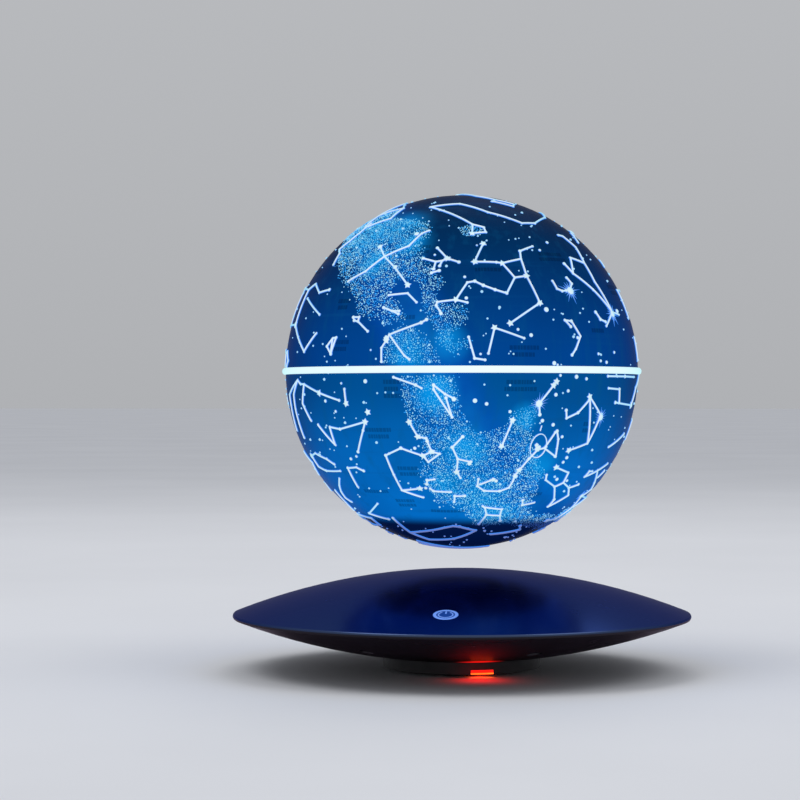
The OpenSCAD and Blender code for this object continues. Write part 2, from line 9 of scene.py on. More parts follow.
import bpy
import numpy as np
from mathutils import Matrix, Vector


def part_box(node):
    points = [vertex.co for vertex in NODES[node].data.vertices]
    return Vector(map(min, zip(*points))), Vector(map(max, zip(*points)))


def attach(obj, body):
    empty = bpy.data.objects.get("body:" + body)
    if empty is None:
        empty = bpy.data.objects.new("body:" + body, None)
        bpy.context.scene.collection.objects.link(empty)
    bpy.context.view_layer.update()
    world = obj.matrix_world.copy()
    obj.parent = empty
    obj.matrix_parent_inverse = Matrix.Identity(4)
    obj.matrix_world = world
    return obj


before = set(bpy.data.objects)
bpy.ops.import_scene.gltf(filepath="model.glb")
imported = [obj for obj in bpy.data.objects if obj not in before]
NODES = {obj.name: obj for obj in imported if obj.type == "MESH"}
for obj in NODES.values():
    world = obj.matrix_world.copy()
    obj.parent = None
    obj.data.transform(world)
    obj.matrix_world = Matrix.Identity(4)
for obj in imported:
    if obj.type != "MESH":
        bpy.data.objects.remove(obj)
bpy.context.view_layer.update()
MM = 0.001

# ------------------------------------------------------------------ places, worked out from the frame

_, UPPER_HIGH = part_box("upper_hemisphere")
LOWER_LOW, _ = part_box("lower_hemisphere")
GLOBE_R = (UPPER_HIGH.z - LOWER_LOW.z) / 2
GLOBE_C = Vector((0, 0, (UPPER_HIGH.z + LOWER_LOW.z) / 2))
TRAY_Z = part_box("magnet_tray")[1].z
TRAY_SHADOW = (TRAY_Z - GLOBE_C.z) / GLOBE_R
LENS_LOW, LENS_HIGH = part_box("touch_lens")
COVER_LOW, COVER_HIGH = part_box("top_cover")
DOME_RISE = COVER_HIGH.z - COVER_LOW.z
DOME_R = (COVER_HIGH.x ** 2 + DOME_RISE ** 2) / (2 * DOME_RISE)

# The camera: CAMERA_TURN is its place round the globe, CAMERA_YAW how far it looks past the middle
CAMERA_DISTANCE = 1.0
CAMERA_HEIGHT = 0.1149
CAMERA_TURN = math.radians(4.5)
CAMERA_YAW = math.radians(1.505)
CAMERA_LENS = 105.3

# The map: the hour that faces the camera, and how much its middle latitudes sit nearer the equator
MAP_HOUR = 18.265
MAP_SQUEEZE = 0.0935
HOUR = math.radians(15)

# Raised marks on the globe. SUNK is how far their edges reach below its surface, and the cloud is an oval
# outline at (right ascension, declination). FIELD_SIZES are radii in millimetres
SUNK = 0.1 * MM
STROKE_WIDTH = 1.0 * MM
STROKE_HEIGHT = 0.68 * MM
POINTED_R = 1.65 * MM
CLOUD_AT = (16.49, -25.0)
CLOUD_REACH = (3.6 * MM, 5.2 * MM)
CLOUD_LINE = 0.5 * MM
LONE_SHARE = 0.85
RAYS = 17
FIELD_COUNT = 760
FIELD_SIZES = [0.38, 0.5, 0.68]
BARE_POLE = math.radians(9)
LABEL_ROW_PITCH = 2.8 * MM
LABEL_ROW_HEIGHT = 1.7 * MM
LABEL_RISE = 0.07 * MM
LABEL_GAP = 0.28 * MM

# The Milky Way: its studs' pitch, the bare strip at the equator in radians, places as (right ascension,
# declination), and the reach of its knot in degrees
MILKY_PITCH = 0.75 * MM
EQUATOR_CLEAR = 0.034
GALAXY_POLE = (12.857, 27.13)
GALAXY_CENTRE = (17.761, -28.94)
MILKY_KNOT = (17.95, 53.5)
MILKY_KNOT_REACH = 3.4

# The room's brightness at eye level, the reach of the status light's painted spill on the underside, and
# half the floor's side
ROOM_LEVEL = 0.46
PAINTED_SPILL_REACH = 11 * MM
FLOOR_HALF = 30.0

rng = np.random.default_rng(20)


# ------------------------------------------------------------------ materials


class Graph:
    """A material with its Principled shader, and short ways to add nodes to it."""

    def __init__(self, name, base=(0.5, 0.5, 0.5), rough=0.5, metal=0.0, specular=0.5, **sockets):
        self.material = bpy.data.materials.new(name)
        self.material.use_nodes = True
        self.tree = self.material.node_tree
        self.shader = self.tree.nodes["Principled BSDF"]
        self.set(**{"Base Color": (*base, 1), "Roughness": rough, "Metallic": metal,
                    "Specular IOR Level": specular, **sockets})

    def set(self, **sockets):
        for name, value in sockets.items():
            self.shader.inputs[name].default_value = value

    def node(self, kind, **inputs):
        made = self.tree.nodes.new(kind)
        for name, value in inputs.items():
            self.feed(made, name, value)
        return made

    def feed(self, node, name, value):
        by_number = name[0] == "i" and name[1:].isdigit()
        socket = node.inputs[int(name[1:]) if by_number else name]
        if isinstance(value, bpy.types.NodeSocket):
            self.tree.links.new(value, socket)
        else:
            socket.default_value = value

    def to_shader(self, name, value):
        self.tree.links.new(value, self.shader.inputs[name])

    def place(self):
        return self.node("ShaderNodeTexCoord").outputs["Object"]

    def stretched(self, scale):
        return self.node("ShaderNodeMapping", Vector=self.place(), Scale=scale).outputs["Vector"]

    def noise(self, scale, detail=3.0, vector=None, rough=0.5):
        return self.node("ShaderNodeTexNoise", Vector=vector or self.place(), Scale=scale, Detail=detail,
                         Roughness=rough).outputs["Fac"]

    def math(self, operation, a, b=0.0):
        made = self.node("ShaderNodeMath", i0=a, i1=b)
        made.operation = operation
        return made.outputs[0]

    def measured(self, operation, spot):
        """Distance of the place from a fixed spot, or its dot product with a fixed direction."""
        made = self.node("ShaderNodeVectorMath", i0=self.place(), i1=tuple(spot))
        made.operation = operation
        return made.outputs["Value"]

    def remap(self, value, low, high, to_low=0.0, to_high=1.0, smooth=False):
        made = self.node("ShaderNodeMapRange", Value=value)
        made.interpolation_type = "SMOOTHSTEP" if smooth else "LINEAR"
        for name, number in zip(("From Min", "From Max", "To Min", "To Max"), (low, high, to_low, to_high)):
            made.inputs[name].default_value = number
        return made.outputs["Result"]

    def mix(self, factor, a, b):
        made = self.tree.nodes.new("ShaderNodeMix")
        made.data_type = "RGBA"
        for socket, value in ((made.inputs[0], factor), (made.inputs[6], a), (made.inputs[7], b)):
            if isinstance(value, bpy.types.NodeSocket):
                self.tree.links.new(value, socket)
            elif socket.type == "RGBA":
                socket.default_value = (*value, 1)
            else:
                socket.default_value = value
        return made.outputs[2]

    def blotchy(self, socket, share, low, high, a, b):
        """Feeds a shader socket with two colours, a below low and b above high of share."""
        self.to_shader(socket, self.mix(self.remap(share, low, high), a, b))

    def bump(self, height, strength, distance):
        made = self.node("ShaderNodeBump", Height=height, Strength=strength, Distance=distance)
        self.to_shader("Normal", made.outputs["Normal"])

    def xyz(self):
        """The place on the piece as three sockets."""
        split = self.node("ShaderNodeSeparateXYZ", Vector=self.place())
        return split.outputs["X"], split.outputs["Y"], split.outputs["Z"]


def grained(name, dark, light, rough, grain=1500.0, depth=0.15, patch=60.0, metal=0.0):
    """A moulded or sheet surface: two near colours in soft patches, uneven gloss and a fine grain."""
    g = Graph(name, dark, rough[0], metal)
    g.blotchy("Base Color", g.noise(patch), 0.3, 0.7, dark, light)
    g.to_shader("Roughness", g.remap(g.noise(patch * 3, 5.0), 0.3, 0.7, *rough))
    g.bump(g.noise(grain, 4.0), depth, 0.0001)
    return g.material


def brushed(name, dark, light, rough, stretch):
    """Metal with fine lines along one direction."""
    g = Graph(name, dark, rough[0], 1.0)
    lines = g.noise(1.0, 5.0, g.stretched(stretch))
    g.blotchy("Base Color", lines, 0.3, 0.7, dark, light)
    g.to_shader("Roughness", g.remap(lines, 0.3, 0.7, *rough))
    g.bump(lines, 0.1, 0.00005)
    return g.material


def wound(name, dark, light, pitch):
    """Enamelled wire: fine rings stacked along Z."""
    g = Graph(name, dark, 0.28, 0.85)
    scale = 1 / pitch / 6.283
    turns = g.node("ShaderNodeTexWave", Vector=g.place(), Scale=scale, Distortion=0.4, Detail=1.0)
    turns.bands_direction = "Z"
    g.to_shader("Base Color", g.mix(turns.outputs["Fac"], dark, light))
    g.to_shader("Roughness", g.remap(g.noise(300), 0.3, 0.7, 0.22, 0.4))
    g.bump(turns.outputs["Fac"], 0.5, 0.00015)
    return g.material


def glowing(name, base, glow, strength, variation=0.12):
    """A lit translucent plastic with a slight unevenness in its glow."""
    g = Graph(name, base, 0.35, 0.0, 0.4, **{"Emission Strength": strength})
    dim = tuple(c * (1 - variation) for c in glow)
    g.blotchy("Emission Color", g.noise(90), 0.3, 0.7, dim, glow)
    g.bump(g.noise(900), 0.08, 0.00005)
    return g.material


def mesh_object(name, points, faces, material):
    """A new object in the scene, made of points and faces."""
    mesh = bpy.data.meshes.new(name)
    mesh.from_pydata(points, [], faces)
    mesh.validate()
    mesh.materials.append(material)
    made = bpy.data.objects.new(name, mesh)
    bpy.context.scene.collection.objects.link(made)
    return made


def side_faces(rows, sides, closed=False):
    """Faces between rows of points that each go once round; closed joins the last row to the first."""
    faces, total = [], rows * sides
    for row in range(rows if closed else rows - 1):
        for k in range(sides):
            a, b = row * sides + k, row * sides + (k + 1) % sides
            faces.append([a, b, (b + sides) % total, (a + sides) % total])
    return faces


def grey(level):
    return (level, level, level)


def paint(material, *names):
    for name in names:
        node = NODES[name]
        node.data.materials.clear()
        node.data.materials.append(material)


# ------------------------------------------------------------------ the sky

# Each figure is a list of chains of stars, and each star is (right ascension, declination)
FIGURES = {
    "great_bear": [
        [(13.79, 49.3), (13.4, 54.9), (12.9, 56), (12.26, 57), (11.06, 61.8), (11.03, 56.4), (11.9, 53.7),
         (12.26, 57)],
        [(11.06, 61.8), (9.53, 63.1), (8.5, 60.7), (9.85, 59), (11.03, 56.4)],
        [(9.85, 59), (9.55, 51.7), (8.99, 48)],
        [(11.9, 53.7), (11.77, 47.8), (11.16, 44.5), (10.37, 41.5)],
        [(11.77, 47.8), (11.31, 33.1)]],
    "little_bear": [
        [(2.53, 89.3), (17.54, 86.6), (16.77, 82), (15.73, 77.8), (14.85, 74.2), (15.35, 71.8),
         (16.29, 75.8), (15.73, 77.8)]],
    "dragon": [
        [(11.52, 69.3), (12.56, 69.8), (14.07, 64.4), (15.42, 59), (16.03, 58.6), (16.4, 61.5),
         (17.15, 65.7), (18.35, 72.7), (19.8, 70.3), (19.21, 67.7), (17.89, 56.9), (17.94, 51.5),
         (17.51, 52.3), (17.54, 55.2), (17.89, 56.9)]],
    "king": [
        [(21.31, 62.6), (21.48, 70.6), (23.66, 77.6), (22.83, 66.2), (22.49, 58.4), (22.18, 58.2),
         (21.31, 62.6)],
        [(21.48, 70.6), (22.83, 66.2)]],
    "queen": [[(0.15, 59.2), (0.68, 56.5), (0.95, 60.7), (1.43, 60.2), (1.91, 63.7)]],
    "giraffe": [[(5.06, 60.4), (4.9, 66.3), (3.84, 71.3)]],
    "hero": [
        [(2.84, 55.9), (3.08, 53.5), (3.41, 49.9), (3.72, 47.8), (3.96, 40), (3.98, 35.8), (3.9, 31.9),
         (3.74, 32.3)],
        [(3.41, 49.9), (3.16, 44.9), (3.14, 41), (3.09, 38.8)]],
    "princess": [
        [(0.14, 29.1), (0.66, 30.9), (1.16, 35.6), (2.06, 42.3)],
        [(1.16, 35.6), (0.95, 38.5), (0.83, 41.1)]],
    "winged_horse": [
        [(0.14, 29.1), (23.06, 28.1), (23.08, 15.2), (0.22, 15.2), (0.14, 29.1)],
        [(23.08, 15.2), (22.69, 10.8), (22.26, 6), (21.84, 11.8)],
        [(23.06, 28.1), (22.72, 30.2), (22.24, 26.4), (21.82, 27.3)],
        [(22.83, 24.6), (21.88, 18.2)]],
    "triangle": [[(1.88, 29.6), (2.16, 35), (2.29, 33.9), (1.88, 29.6)]],
    "ram": [[(2.83, 27.3), (2.12, 23.5), (1.91, 20.8), (1.89, 19.3)]],
    "fishes": [
        [(1.19, 30.1), (1.52, 15.4), (1.76, 9.2), (2.03, 2.8), (1.69, 5.5), (1.05, 7.9), (0.81, 7.6),
         (23.99, 6.9), (23.67, 5.6), (23.7, 1.8), (23.45, 1.3), (23.29, 3.3), (23.47, 6.4),
         (23.67, 5.6)]],
    "whale": [
        [(0.32, -8.8), (0.73, -18), (1.73, -15.9), (1.86, -10.3), (1.4, -8.2), (1.14, -10.2),
         (0.32, -8.8)],
        [(1.86, -10.3), (2.32, -3), (2.66, 0.3), (2.72, 3.2), (3.04, 4.1), (3, 8.9), (2.75, 10.1),
         (2.47, 8.5), (2.72, 3.2)]],
    "bull": [
        [(5.44, 28.6), (4.48, 19.2), (4.38, 17.5), (4.33, 15.6), (4.48, 15.9), (4.6, 16.5), (5.63, 21.1)],
        [(4.33, 15.6), (4.01, 12.5), (3.45, 9.7)]],
    "charioteer": [
        [(5.28, 46), (5.99, 44.9), (5.99, 37.2), (5.44, 28.6), (4.95, 33.2), (5.11, 41.2), (5.03, 43.8),
         (5.28, 46)]],
    "hunter": [
        [(5.92, 7.4), (5.68, -1.9), (5.8, -9.7), (5.24, -8.2), (5.53, -0.3), (5.42, 6.3), (5.59, 9.9),
         (5.92, 7.4)],
        [(5.68, -1.9), (5.6, -1.2), (5.53, -0.3)],
        [(5.92, 7.4), (6.04, 9.7), (6.2, 14.2), (6.07, 20.1)],
        [(4.9, 2.4), (4.85, 5.6), (4.83, 7), (4.84, 8.9), (4.92, 10.2)],
        [(5.42, 6.3), (4.83, 7)]],
    "twins": [
        [(7.76, 28), (7.58, 31.9), (7.19, 30.2), (6.73, 25.1), (6.38, 22.5), (6.25, 22.5)],
        [(7.76, 28), (7.34, 22), (7.07, 20.6), (6.63, 16.4)],
        [(7.34, 22), (7.3, 16.5), (6.75, 12.9)]],
    "crab": [[(8.78, 28.8), (8.72, 21.5), (8.74, 18.2), (8.97, 11.9)], [(8.74, 18.2), (8.28, 9.2)]],
    "small_dog": [[(7.66, 5.2), (7.45, 8.3)]],
    "great_dog": [
        [(6.38, -18), (6.75, -16.7), (7.05, -23.8), (7.14, -26.4), (6.98, -29), (6.34, -30.1)],
        [(7.14, -26.4), (7.4, -29.3)],
        [(6.75, -16.7), (7.06, -15.6), (6.9, -12), (6.94, -17.1), (6.75, -16.7)]],
    "hare": [
        [(5.09, -22.4), (5.47, -20.8), (5.55, -17.8), (5.22, -16.2), (5.09, -22.4)],
        [(5.47, -20.8), (5.74, -22.5), (5.86, -20.9), (5.55, -17.8), (5.78, -14.8)]],
    "dove": [[(5.52, -35.5), (5.66, -34.1), (5.85, -35.8), (6.37, -33.4)]],
    "unicorn": [
        [(7.69, -9.6), (7.2, -0.5), (6.4, 4.6), (6.55, 7.3)],
        [(7.2, -0.5), (6.48, -7), (6.25, -6.3)]],
    "river": [
        [(5.13, -5.1), (4.61, -3.4), (4.2, -6.8), (3.97, -13.5), (3.72, -9.8), (3.55, -9.5), (2.94, -8.9),
         (2.75, -18.6), (3.04, -23.6), (3.33, -21.8), (3.78, -23.3), (4.3, -30), (4.3, -33.8),
         (3.82, -36.2), (2.97, -40.3), (2.45, -47.7), (2.28, -51.5), (1.63, -57.2)]],
    "lion": [
        [(9.76, 23.8), (9.88, 26), (10.28, 23.4), (10.33, 19.8), (10.12, 16.8), (10.14, 12),
         (11.24, 15.4), (11.82, 14.6), (11.24, 20.5), (10.33, 19.8)],
        [(11.24, 20.5), (11.24, 15.4)]],
    "lynx": [[(9.35, 34.4), (9.01, 41.8), (8.38, 43.2), (7.45, 49.2), (6.95, 58.4), (6.33, 59)]],
    "maiden": [
        [(11.84, 1.8), (12.33, -0.7), (12.69, -1.5), (13.17, -5.5), (13.42, -11.2)],
        [(14.72, -5.7), (14.27, -6), (14.21, -10.3)],
        [(14.38, -10.3), (13.42, -11.2)],
        [(12.93, 3.4), (13.04, 11)],
        [(14.77, -1.9), (14.03, -1.9), (13.4, -2)]],
    "tresses": [[(13.17, 17.5), (13.2, 27.9), (12.45, 28.3)]],
    "hounds": [[(12.93, 38.3), (12.56, 41.4)]],
    "herdsman": [
        [(14.26, 19.2), (14.75, 27.1), (15.26, 33.3), (15.03, 40.4), (14.53, 38.3), (14.53, 30.4),
         (14.26, 19.2)],
        [(15.26, 33.3), (15.41, 37.4)],
        [(13.91, 18.4), (14.26, 19.2), (14.66, 14.2)],
        [(14.95, 18.8), (14.84, 16.4), (14.66, 15.6)],
        [(14.53, 38.3), (14.35, 46.1), (14.55, 51.9), (14.75, 52.4)]],
    "crown": [
        [(15.55, 31.4), (15.46, 29.1), (15.58, 26.7), (15.71, 26.3), (15.83, 26.1), (15.96, 26.9),
         (16.02, 29.9)]],
    "kneeler": [
        [(17.66, 46), (17.94, 37.3), (17.39, 37.2), (17.25, 36.8), (16.71, 38.9), (16.69, 31.6),
         (17, 30.9), (17.25, 36.8)],
        [(16.71, 38.9), (16.66, 42.6), (16.2, 45.2)],
        [(17, 30.9), (17.25, 24.8), (17.51, 26.1), (17.77, 27.7), (17.96, 29.3), (18.13, 28.8),
         (18.39, 22.4), (18.14, 21.4)],
        [(18.39, 22.4), (18.79, 21.6), (18.81, 20.4), (18.72, 18.4)],
        [(16.69, 31.6), (16.5, 21.5), (17.24, 14.4)]],
    "lyre": [
        [(18.92, 43.9), (18.62, 38.8), (18.33, 37.2)],
        [(18.62, 38.8), (18.75, 37.8), (18.91, 37.4), (19.25, 39)],
        [(18.91, 37.4), (18.94, 34.3)],
        [(18.98, 32.7), (18.8, 33.6)],
        [(18.75, 37.8), (18.8, 35.6)]],
    "swan": [
        [(20.69, 45.3), (20.37, 40.3), (19.94, 35.1), (19.51, 28)],
        [(19.29, 53.4), (19.5, 51.7), (19.75, 45.1), (20.37, 40.3), (20.77, 34), (21.22, 30.2)]],
    "small_fox": [[(19.93, 24.3), (19.48, 24.9), (19.25, 21.6)]],
    "arrow": [[(20, 19.9), (19.79, 18.7), (19.62, 18.6)], [(19.79, 18.7), (19.63, 17.6)]],
    "dolphin": [[(20.31, 12), (20.59, 15.3), (20.7, 15.7), (20.74, 16.8), (20.58, 16.8), (20.59, 15.3)]],
    "foal": [[(21.26, 5), (21.24, 10), (21.14, 10.2), (21.26, 5), (21.4, 7.4), (21.24, 10)]],
    "eagle": [
        [(19, 15.6), (19.11, 14.6), (19.79, 10.8), (19.85, 8.9), (19.95, 6.6), (19.94, 2.4)],
        [(19.79, 10.8), (19.44, 4.2), (19.33, 3)],
        [(19.67, -2.4), (19.2, -4.8), (19.08, -5.8)]],
    "shield": [
        [(18.83, -4.8), (18.6, -7.6), (18.42, -9)],
        [(18.83, -6.2), (18.46, -15), (18.58, -8.8)],
        [(18.83, -6.2), (18.83, -4.8)]],
    "serpent_head": [
        [(15.85, 4.5), (15.74, 6.4), (15.58, 10.5), (15.77, 15.4), (15.94, 15.7), (15.81, 13.6)]],
    "bearer": [
        [(17.72, 4.8), (17.58, 12.9), (16.96, 9.6)],
        [(18.12, 9.9), (18, 3.3), (17.79, 2.8)],
        [(16.31, -4.9), (16.62, -10.6), (16.58, -14.2)],
        [(17.18, -16), (17.37, -25)]],
    "archer": [
        [(18.05, -30.9), (18.35, -29.8), (18.47, -25.4), (18.24, -21.6)],
        [(18.35, -29.8), (18.38, -35), (18.29, -37.6)],
        [(18.76, -27.8), (19.04, -31), (19.15, -28.6), (18.94, -27), (18.76, -27.8)],
        [(18.94, -27), (19.04, -22.2), (19.22, -21.6), (19.38, -16.6)],
        [(19.15, -28.6), (19.65, -25.8), (19.97, -27.9), (20.07, -28.6), (20, -36.4), (19.92, -43.4),
         (19.38, -42.4)],
        [(19.92, -43.4), (19.36, -46.8)]],
    "southern_crown": [
        [(18.95, -38.2), (19.14, -38.6), (19.17, -40.4)],
        [(19.1, -42.4), (19.02, -43.6), (18.55, -44)]],
    "scorpion": [
        [(16.09, -19.8), (16.01, -22.6), (15.98, -26.1), (15.95, -29.2)],
        [(16.13, -20.2), (16.33, -25.8), (15.97, -29)],
        [(16.33, -25.8), (16.49, -26.4), (16.66, -29.8), (16.84, -34.3), (16.92, -36.4), (16.93, -39),
         (16.99, -42), (17.23, -43.6), (17.66, -43.4), (17.85, -41.2), (17.84, -38)],
        [(17.79, -40.4), (17.52, -38.6)]],
    "scales": [
        [(15.33, -8.4), (14.88, -14.4), (15.08, -24.3), (15.33, -8.4)],
        [(15.08, -24.3), (15.62, -26.8)],
        [(15.33, -9.4), (15.61, -13.6), (15.9, -15.4), (15.94, -12.8)]],
    "wolf": [
        [(15.82, -33.4), (15.33, -35.8), (15.32, -40.2), (15.56, -42), (15.98, -38.8), (16.02, -36.6)],
        [(15.56, -42), (15.24, -48.6), (15.26, -52.4), (14.72, -46.6), (14.95, -42.8), (15.32, -40.2)],
        [(14.95, -42.8), (14.61, -41.4)]],
    "horse_man": [
        [(14.42, -61.6), (13.8, -60.8), (13.55, -54), (13.75, -47.6), (12.69, -49), (12.14, -50.7),
         (11.35, -54.5)],
        [(13.55, -54), (12.69, -49)],
        [(13.75, -47.6), (13.35, -44.4), (13.6, -41), (14.02, -35.4), (14.54, -37.9), (14.47, -35.6),
         (14.3, -35.6)],
        [(13.56, -32.7), (14.02, -35.4)],
        [(13.45, -35.8), (13.66, -38.6)]],
    "cross": [[(12.44, -63.1), (12.52, -57.1)], [(12.8, -59.7), (12.25, -58.8)]],
    "fly": [
        [(11.76, -66.7), (12.62, -69.1), (12.77, -68.1), (13.04, -71.6), (12.54, -72.1), (12.62, -69.1)]],
    "keel": [
        [(6.4, -52.7), (7.95, -53), (8.38, -59.5), (9.28, -59.3), (10.72, -64.4), (10.23, -70),
         (9.22, -69.7), (9.79, -65.1), (9.28, -59.3)]],
    "sails": [
        [(8.16, -47.3), (8.75, -54.7), (9.37, -55), (9.95, -54.6), (10.78, -49.4), (9.51, -40.5),
         (9.13, -43.4), (8.16, -47.3)]],
    "stern": [
        [(8.16, -47.3), (8.06, -40), (8.13, -24.3), (7.82, -24.9), (7.29, -37.1), (6.63, -43.2),
         (6.83, -50.6)],
        [(7.29, -37.1), (8.06, -40)]],
    "water_snake": [
        [(8.92, 6), (8.78, 6.4), (8.63, 5.7), (8.65, 3.3), (8.92, 6), (9.24, 2.3)],
        [(9.66, -2.6), (9.46, -8.7), (9.86, -14.9), (10.18, -12.4), (10.43, -16.8), (10.83, -16.2),
         (11.55, -31.9), (11.88, -33.9)],
        [(13.32, -21.2), (14.08, -25.9)]],
    "cup": [
        [(11, -18.3), (11.32, -14.8), (11.41, -17.7), (11.19, -22.8), (11, -18.3)],
        [(11.41, -10.9), (11.32, -14.8)],
        [(11.41, -17.7), (11.75, -18.4), (11.93, -17.2)]],
    "crow": [
        [(12.26, -17.5), (12.5, -16.5), (12.57, -23.4), (12.17, -22.6), (12.26, -17.5)],
        [(12.17, -22.6), (12.14, -24.7)]],
    "sextant": [[(10.13, -0.4), (9.88, -8.1), (10.5, -2.7)]],
    "compass": [[(8.67, -35.3), (8.73, -33.2), (8.84, -27.7)]],
    "sea_goat": [
        [(20.42, -16.6), (21.18, -19.2), (21.5, -18.5), (21.49, -25), (21.92, -17.8)],
        [(20.42, -16.6), (20.52, -19.6), (20.82, -27.4)],
        [(20.92, -29.2)]],
    "water_carrier": [
        [(20.87, -6), (20.86, -10.2)],
        [(21.05, -9.6), (21.66, -7.2), (22.24, -4.4), (22.42, -4.3), (22.56, -3), (22.88, -7.6),
         (22.93, -12.5), (22.91, -22.5)],
        [(22.24, -4.4), (22.42, -10.6), (22.18, -16.4)],
        [(22.56, -3), (23.24, -7.6), (23.26, -11), (23.38, -20.1)]],
    "southern_fish": [
        [(22.96, -29.6), (22.6, -28.4), (22.1, -30.6), (21.87, -32.6)],
        [(22.96, -29.6), (22.88, -34), (22.5, -35.6), (21.76, -35.4)]],
    "crane": [
        [(22.02, -38.8), (22.3, -42.2), (22.5, -45.2), (22.6, -48.6), (22.42, -50.6)],
        [(22.95, -44.9), (23.05, -51.3), (23.2, -55.8)]],
    "phoenix": [
        [(0.16, -45.8), (0.44, -42.3), (1.1, -46.7), (1.47, -43.3), (1.52, -49.1), (1.1, -46.7),
         (1.14, -55.3)]],
    "sculptor": [[(0.98, -29.4), (23.81, -28.1), (23.31, -32.5), (23.55, -37.8)]],
    "furnace": [[(3.2, -29), (2.82, -32.4)]],
    "toucan": [
        [(22.31, -60.3), (23.29, -58.2), (0.53, -63), (0.33, -64.9), (22.45, -65), (22.31, -60.3)]],
    "indian": [[(21.06, -50.8), (22, -57), (21.2, -60.2)]],
    "peacock": [
        [(20.92, -59.3), (20.88, -69.6), (20.2, -68.6), (18.95, -65.2), (18.6, -64), (18.35, -64.4),
         (18, -66), (17.65, -67.3), (18, -70.5), (18.7, -74.3), (20.3, -75.4), (20.88, -69.6)]],
    "altar": [
        [(17.62, -51.3), (17.53, -52.6), (17.43, -56.4), (17.6, -62.6)],
        [(17.43, -56.4), (16.95, -57)],
        [(16.83, -60.4), (16.95, -57), (16.98, -53.2), (17.58, -51.8)]],
    "southern_triangle": [[(16.85, -70.5), (15.45, -67.4), (15.7, -64.6)]],
    "small_snake": [[(1.98, -61.6), (0.43, -77.3), (3.79, -74.2), (1.98, -61.6)]],
    "octant": [[(21.69, -77.4), (22.77, -81.4), (14.45, -83.7), (21.69, -77.4)]],
    "rule": [[(16.42, -48.4), (16.34, -51), (15.96, -49.8)]],
    "microscope": [[(20.87, -35), (21.06, -33.6), (21.38, -34), (21.4, -42.4)]],
    "net": [[(4.24, -62.5), (3.74, -64.8), (4.27, -59.3), (4.24, -62.5)]],
    "swordfish": [[(4.27, -51.5), (4.57, -55), (5.56, -62.5)]],
    "easel": [[(6.8, -61.9), (5.79, -51.1)]],
    "flying_fish": [
        [(7.15, -70.5), (7.28, -68), (8.13, -68.6), (9.04, -66.4), (8.43, -66.1), (8.13, -68.6),
         (7.15, -70.5)]],
    "chameleon": [[(8.31, -76.9), (10.59, -78.6), (12.31, -79.3)]],
    "lizard": [[(22.28, 38.1), (22.39, 43.2), (22.69, 45.8), (22.45, 49.8), (22.31, 54.3), (22.3, 60.4)]],
    "telescope": [[(18.18, -45.9), (18.45, -46), (18.48, -49.1)]],
}

# The brightest stars, drawn as pointed stars
BRIGHT = [
    (18.62, 38.8), (19.85, 8.9), (20.69, 45.3), (13.42, -11.2), (10.14, 12), (5.28, 46), (5.24, -8.2),
    (5.92, 7.4), (6.75, -16.7), (7.66, 5.2), (7.76, 28), (4.6, 16.5), (22.96, -29.6), (1.63, -57.2),
    (6.4, -52.7), (14.42, -61.6), (13.8, -60.8), (12.44, -63.1), (17.58, 12.9), (18.38, -35),
    (18.94, -27), (17.18, -16), (17.37, -25), (16.5, 21.5), (17.24, 14.4), (16.69, 31.6), (17.25, 36.8),
    (17.94, 37.3), (17.66, 46), (11.06, 61.8), (12.9, 56), (2.53, 89.3), (19.51, 28), (20.42, -16.6),
    (20.32, -13.4), (20.86, -10.6), (21.66, -7.2), (0.14, 29.1), (23.08, 15.2), (2.12, 23.5), (0.73, -18),
    (3.41, 49.9), (0.68, 56.5), (15.33, -8.4), (16.31, -4.9), (16.24, -3.7), (19.38, -16.6),
    (19.22, -21.6), (15.62, -26.8), (15.82, -33.4), (16.84, -34.3), (19.15, -28.6), (19.38, -42.4),
    (17.94, 51.5), (18.39, 22.4)]

# Larger lone studs: (right ascension, declination, radius in millimetres)
LONE = [
    (20.32, -3.6, 1.1), (17.99, -9.7, 1.15), (17.75, -10.7, 0.95), (16.37, 19.2, 1.3), (20.2, 6, 0.6),
    (16.5, -16.2, 1), (16.22, -17.6, 1), (20.95, -4.2, 0.7), (21.48, -9.8, 0.9), (21.2, -13.2, 0.8),
    (19.32, -25.8, 0.9), (16.8, 10.6, 1), (18.16, 23, 0.9), (18.19, 31, 0.8), (17.08, 12.4, 0.8),
    (16.15, -1.8, 0.8), (15.74, -2.2, 1.1), (15.46, -2.8, 0.9), (15.94, -6.6, 0.9), (16.24, -7.8, 1),
    (15.92, -21.8, 0.9), (15.6, -29.6, 1), (15.66, -31.4, 0.9), (15.62, -38.6, 1), (15.22, -39.4, 0.9),
    (21.13, -30.2, 0.9), (19.22, -42.2, 0.9), (18.96, 40.6, 0.7), (17.84, 45.2, 0.6), (16.02, 43.4, 0.8),
    (15.58, 47.6, 0.9), (15.66, 10, 0.9), (14.82, 2.4, 0.9), (16.3, 1.9, 1.1), (16.22, 1.4, 0.7),
    (15.02, 2.8, 0.8), (15.08, 5, 0.8), (14.5, 5.6, 0.8), (18.07, 6.6, 0.7), (17.88, 4.6, 0.7)]

# Clusters, each a knot with rays: (right ascension, declination, reach and knot radius in millimetres)
BURSTS = [
    (16.62, -10.6, 5.2, 1.7), (15.58, 26.3, 6.4, 1.9), (14.86, -15.2, 4.8, 1.6), (14.26, 18.6, 6, 1.7),
    (3.79, 24.1, 3.4, 1.4), (5.6, -5.4, 3.2, 1.4), (8.67, 19.7, 2.8, 1.2), (0.71, 41.3, 3, 1.2),
    (6.75, -20.7, 3.4, 1.3), (13.79, -47.5, 3, 1.2), (0.4, -72.1, 2.8, 1.2), (10.75, -59.7, 3.4, 1.4)]

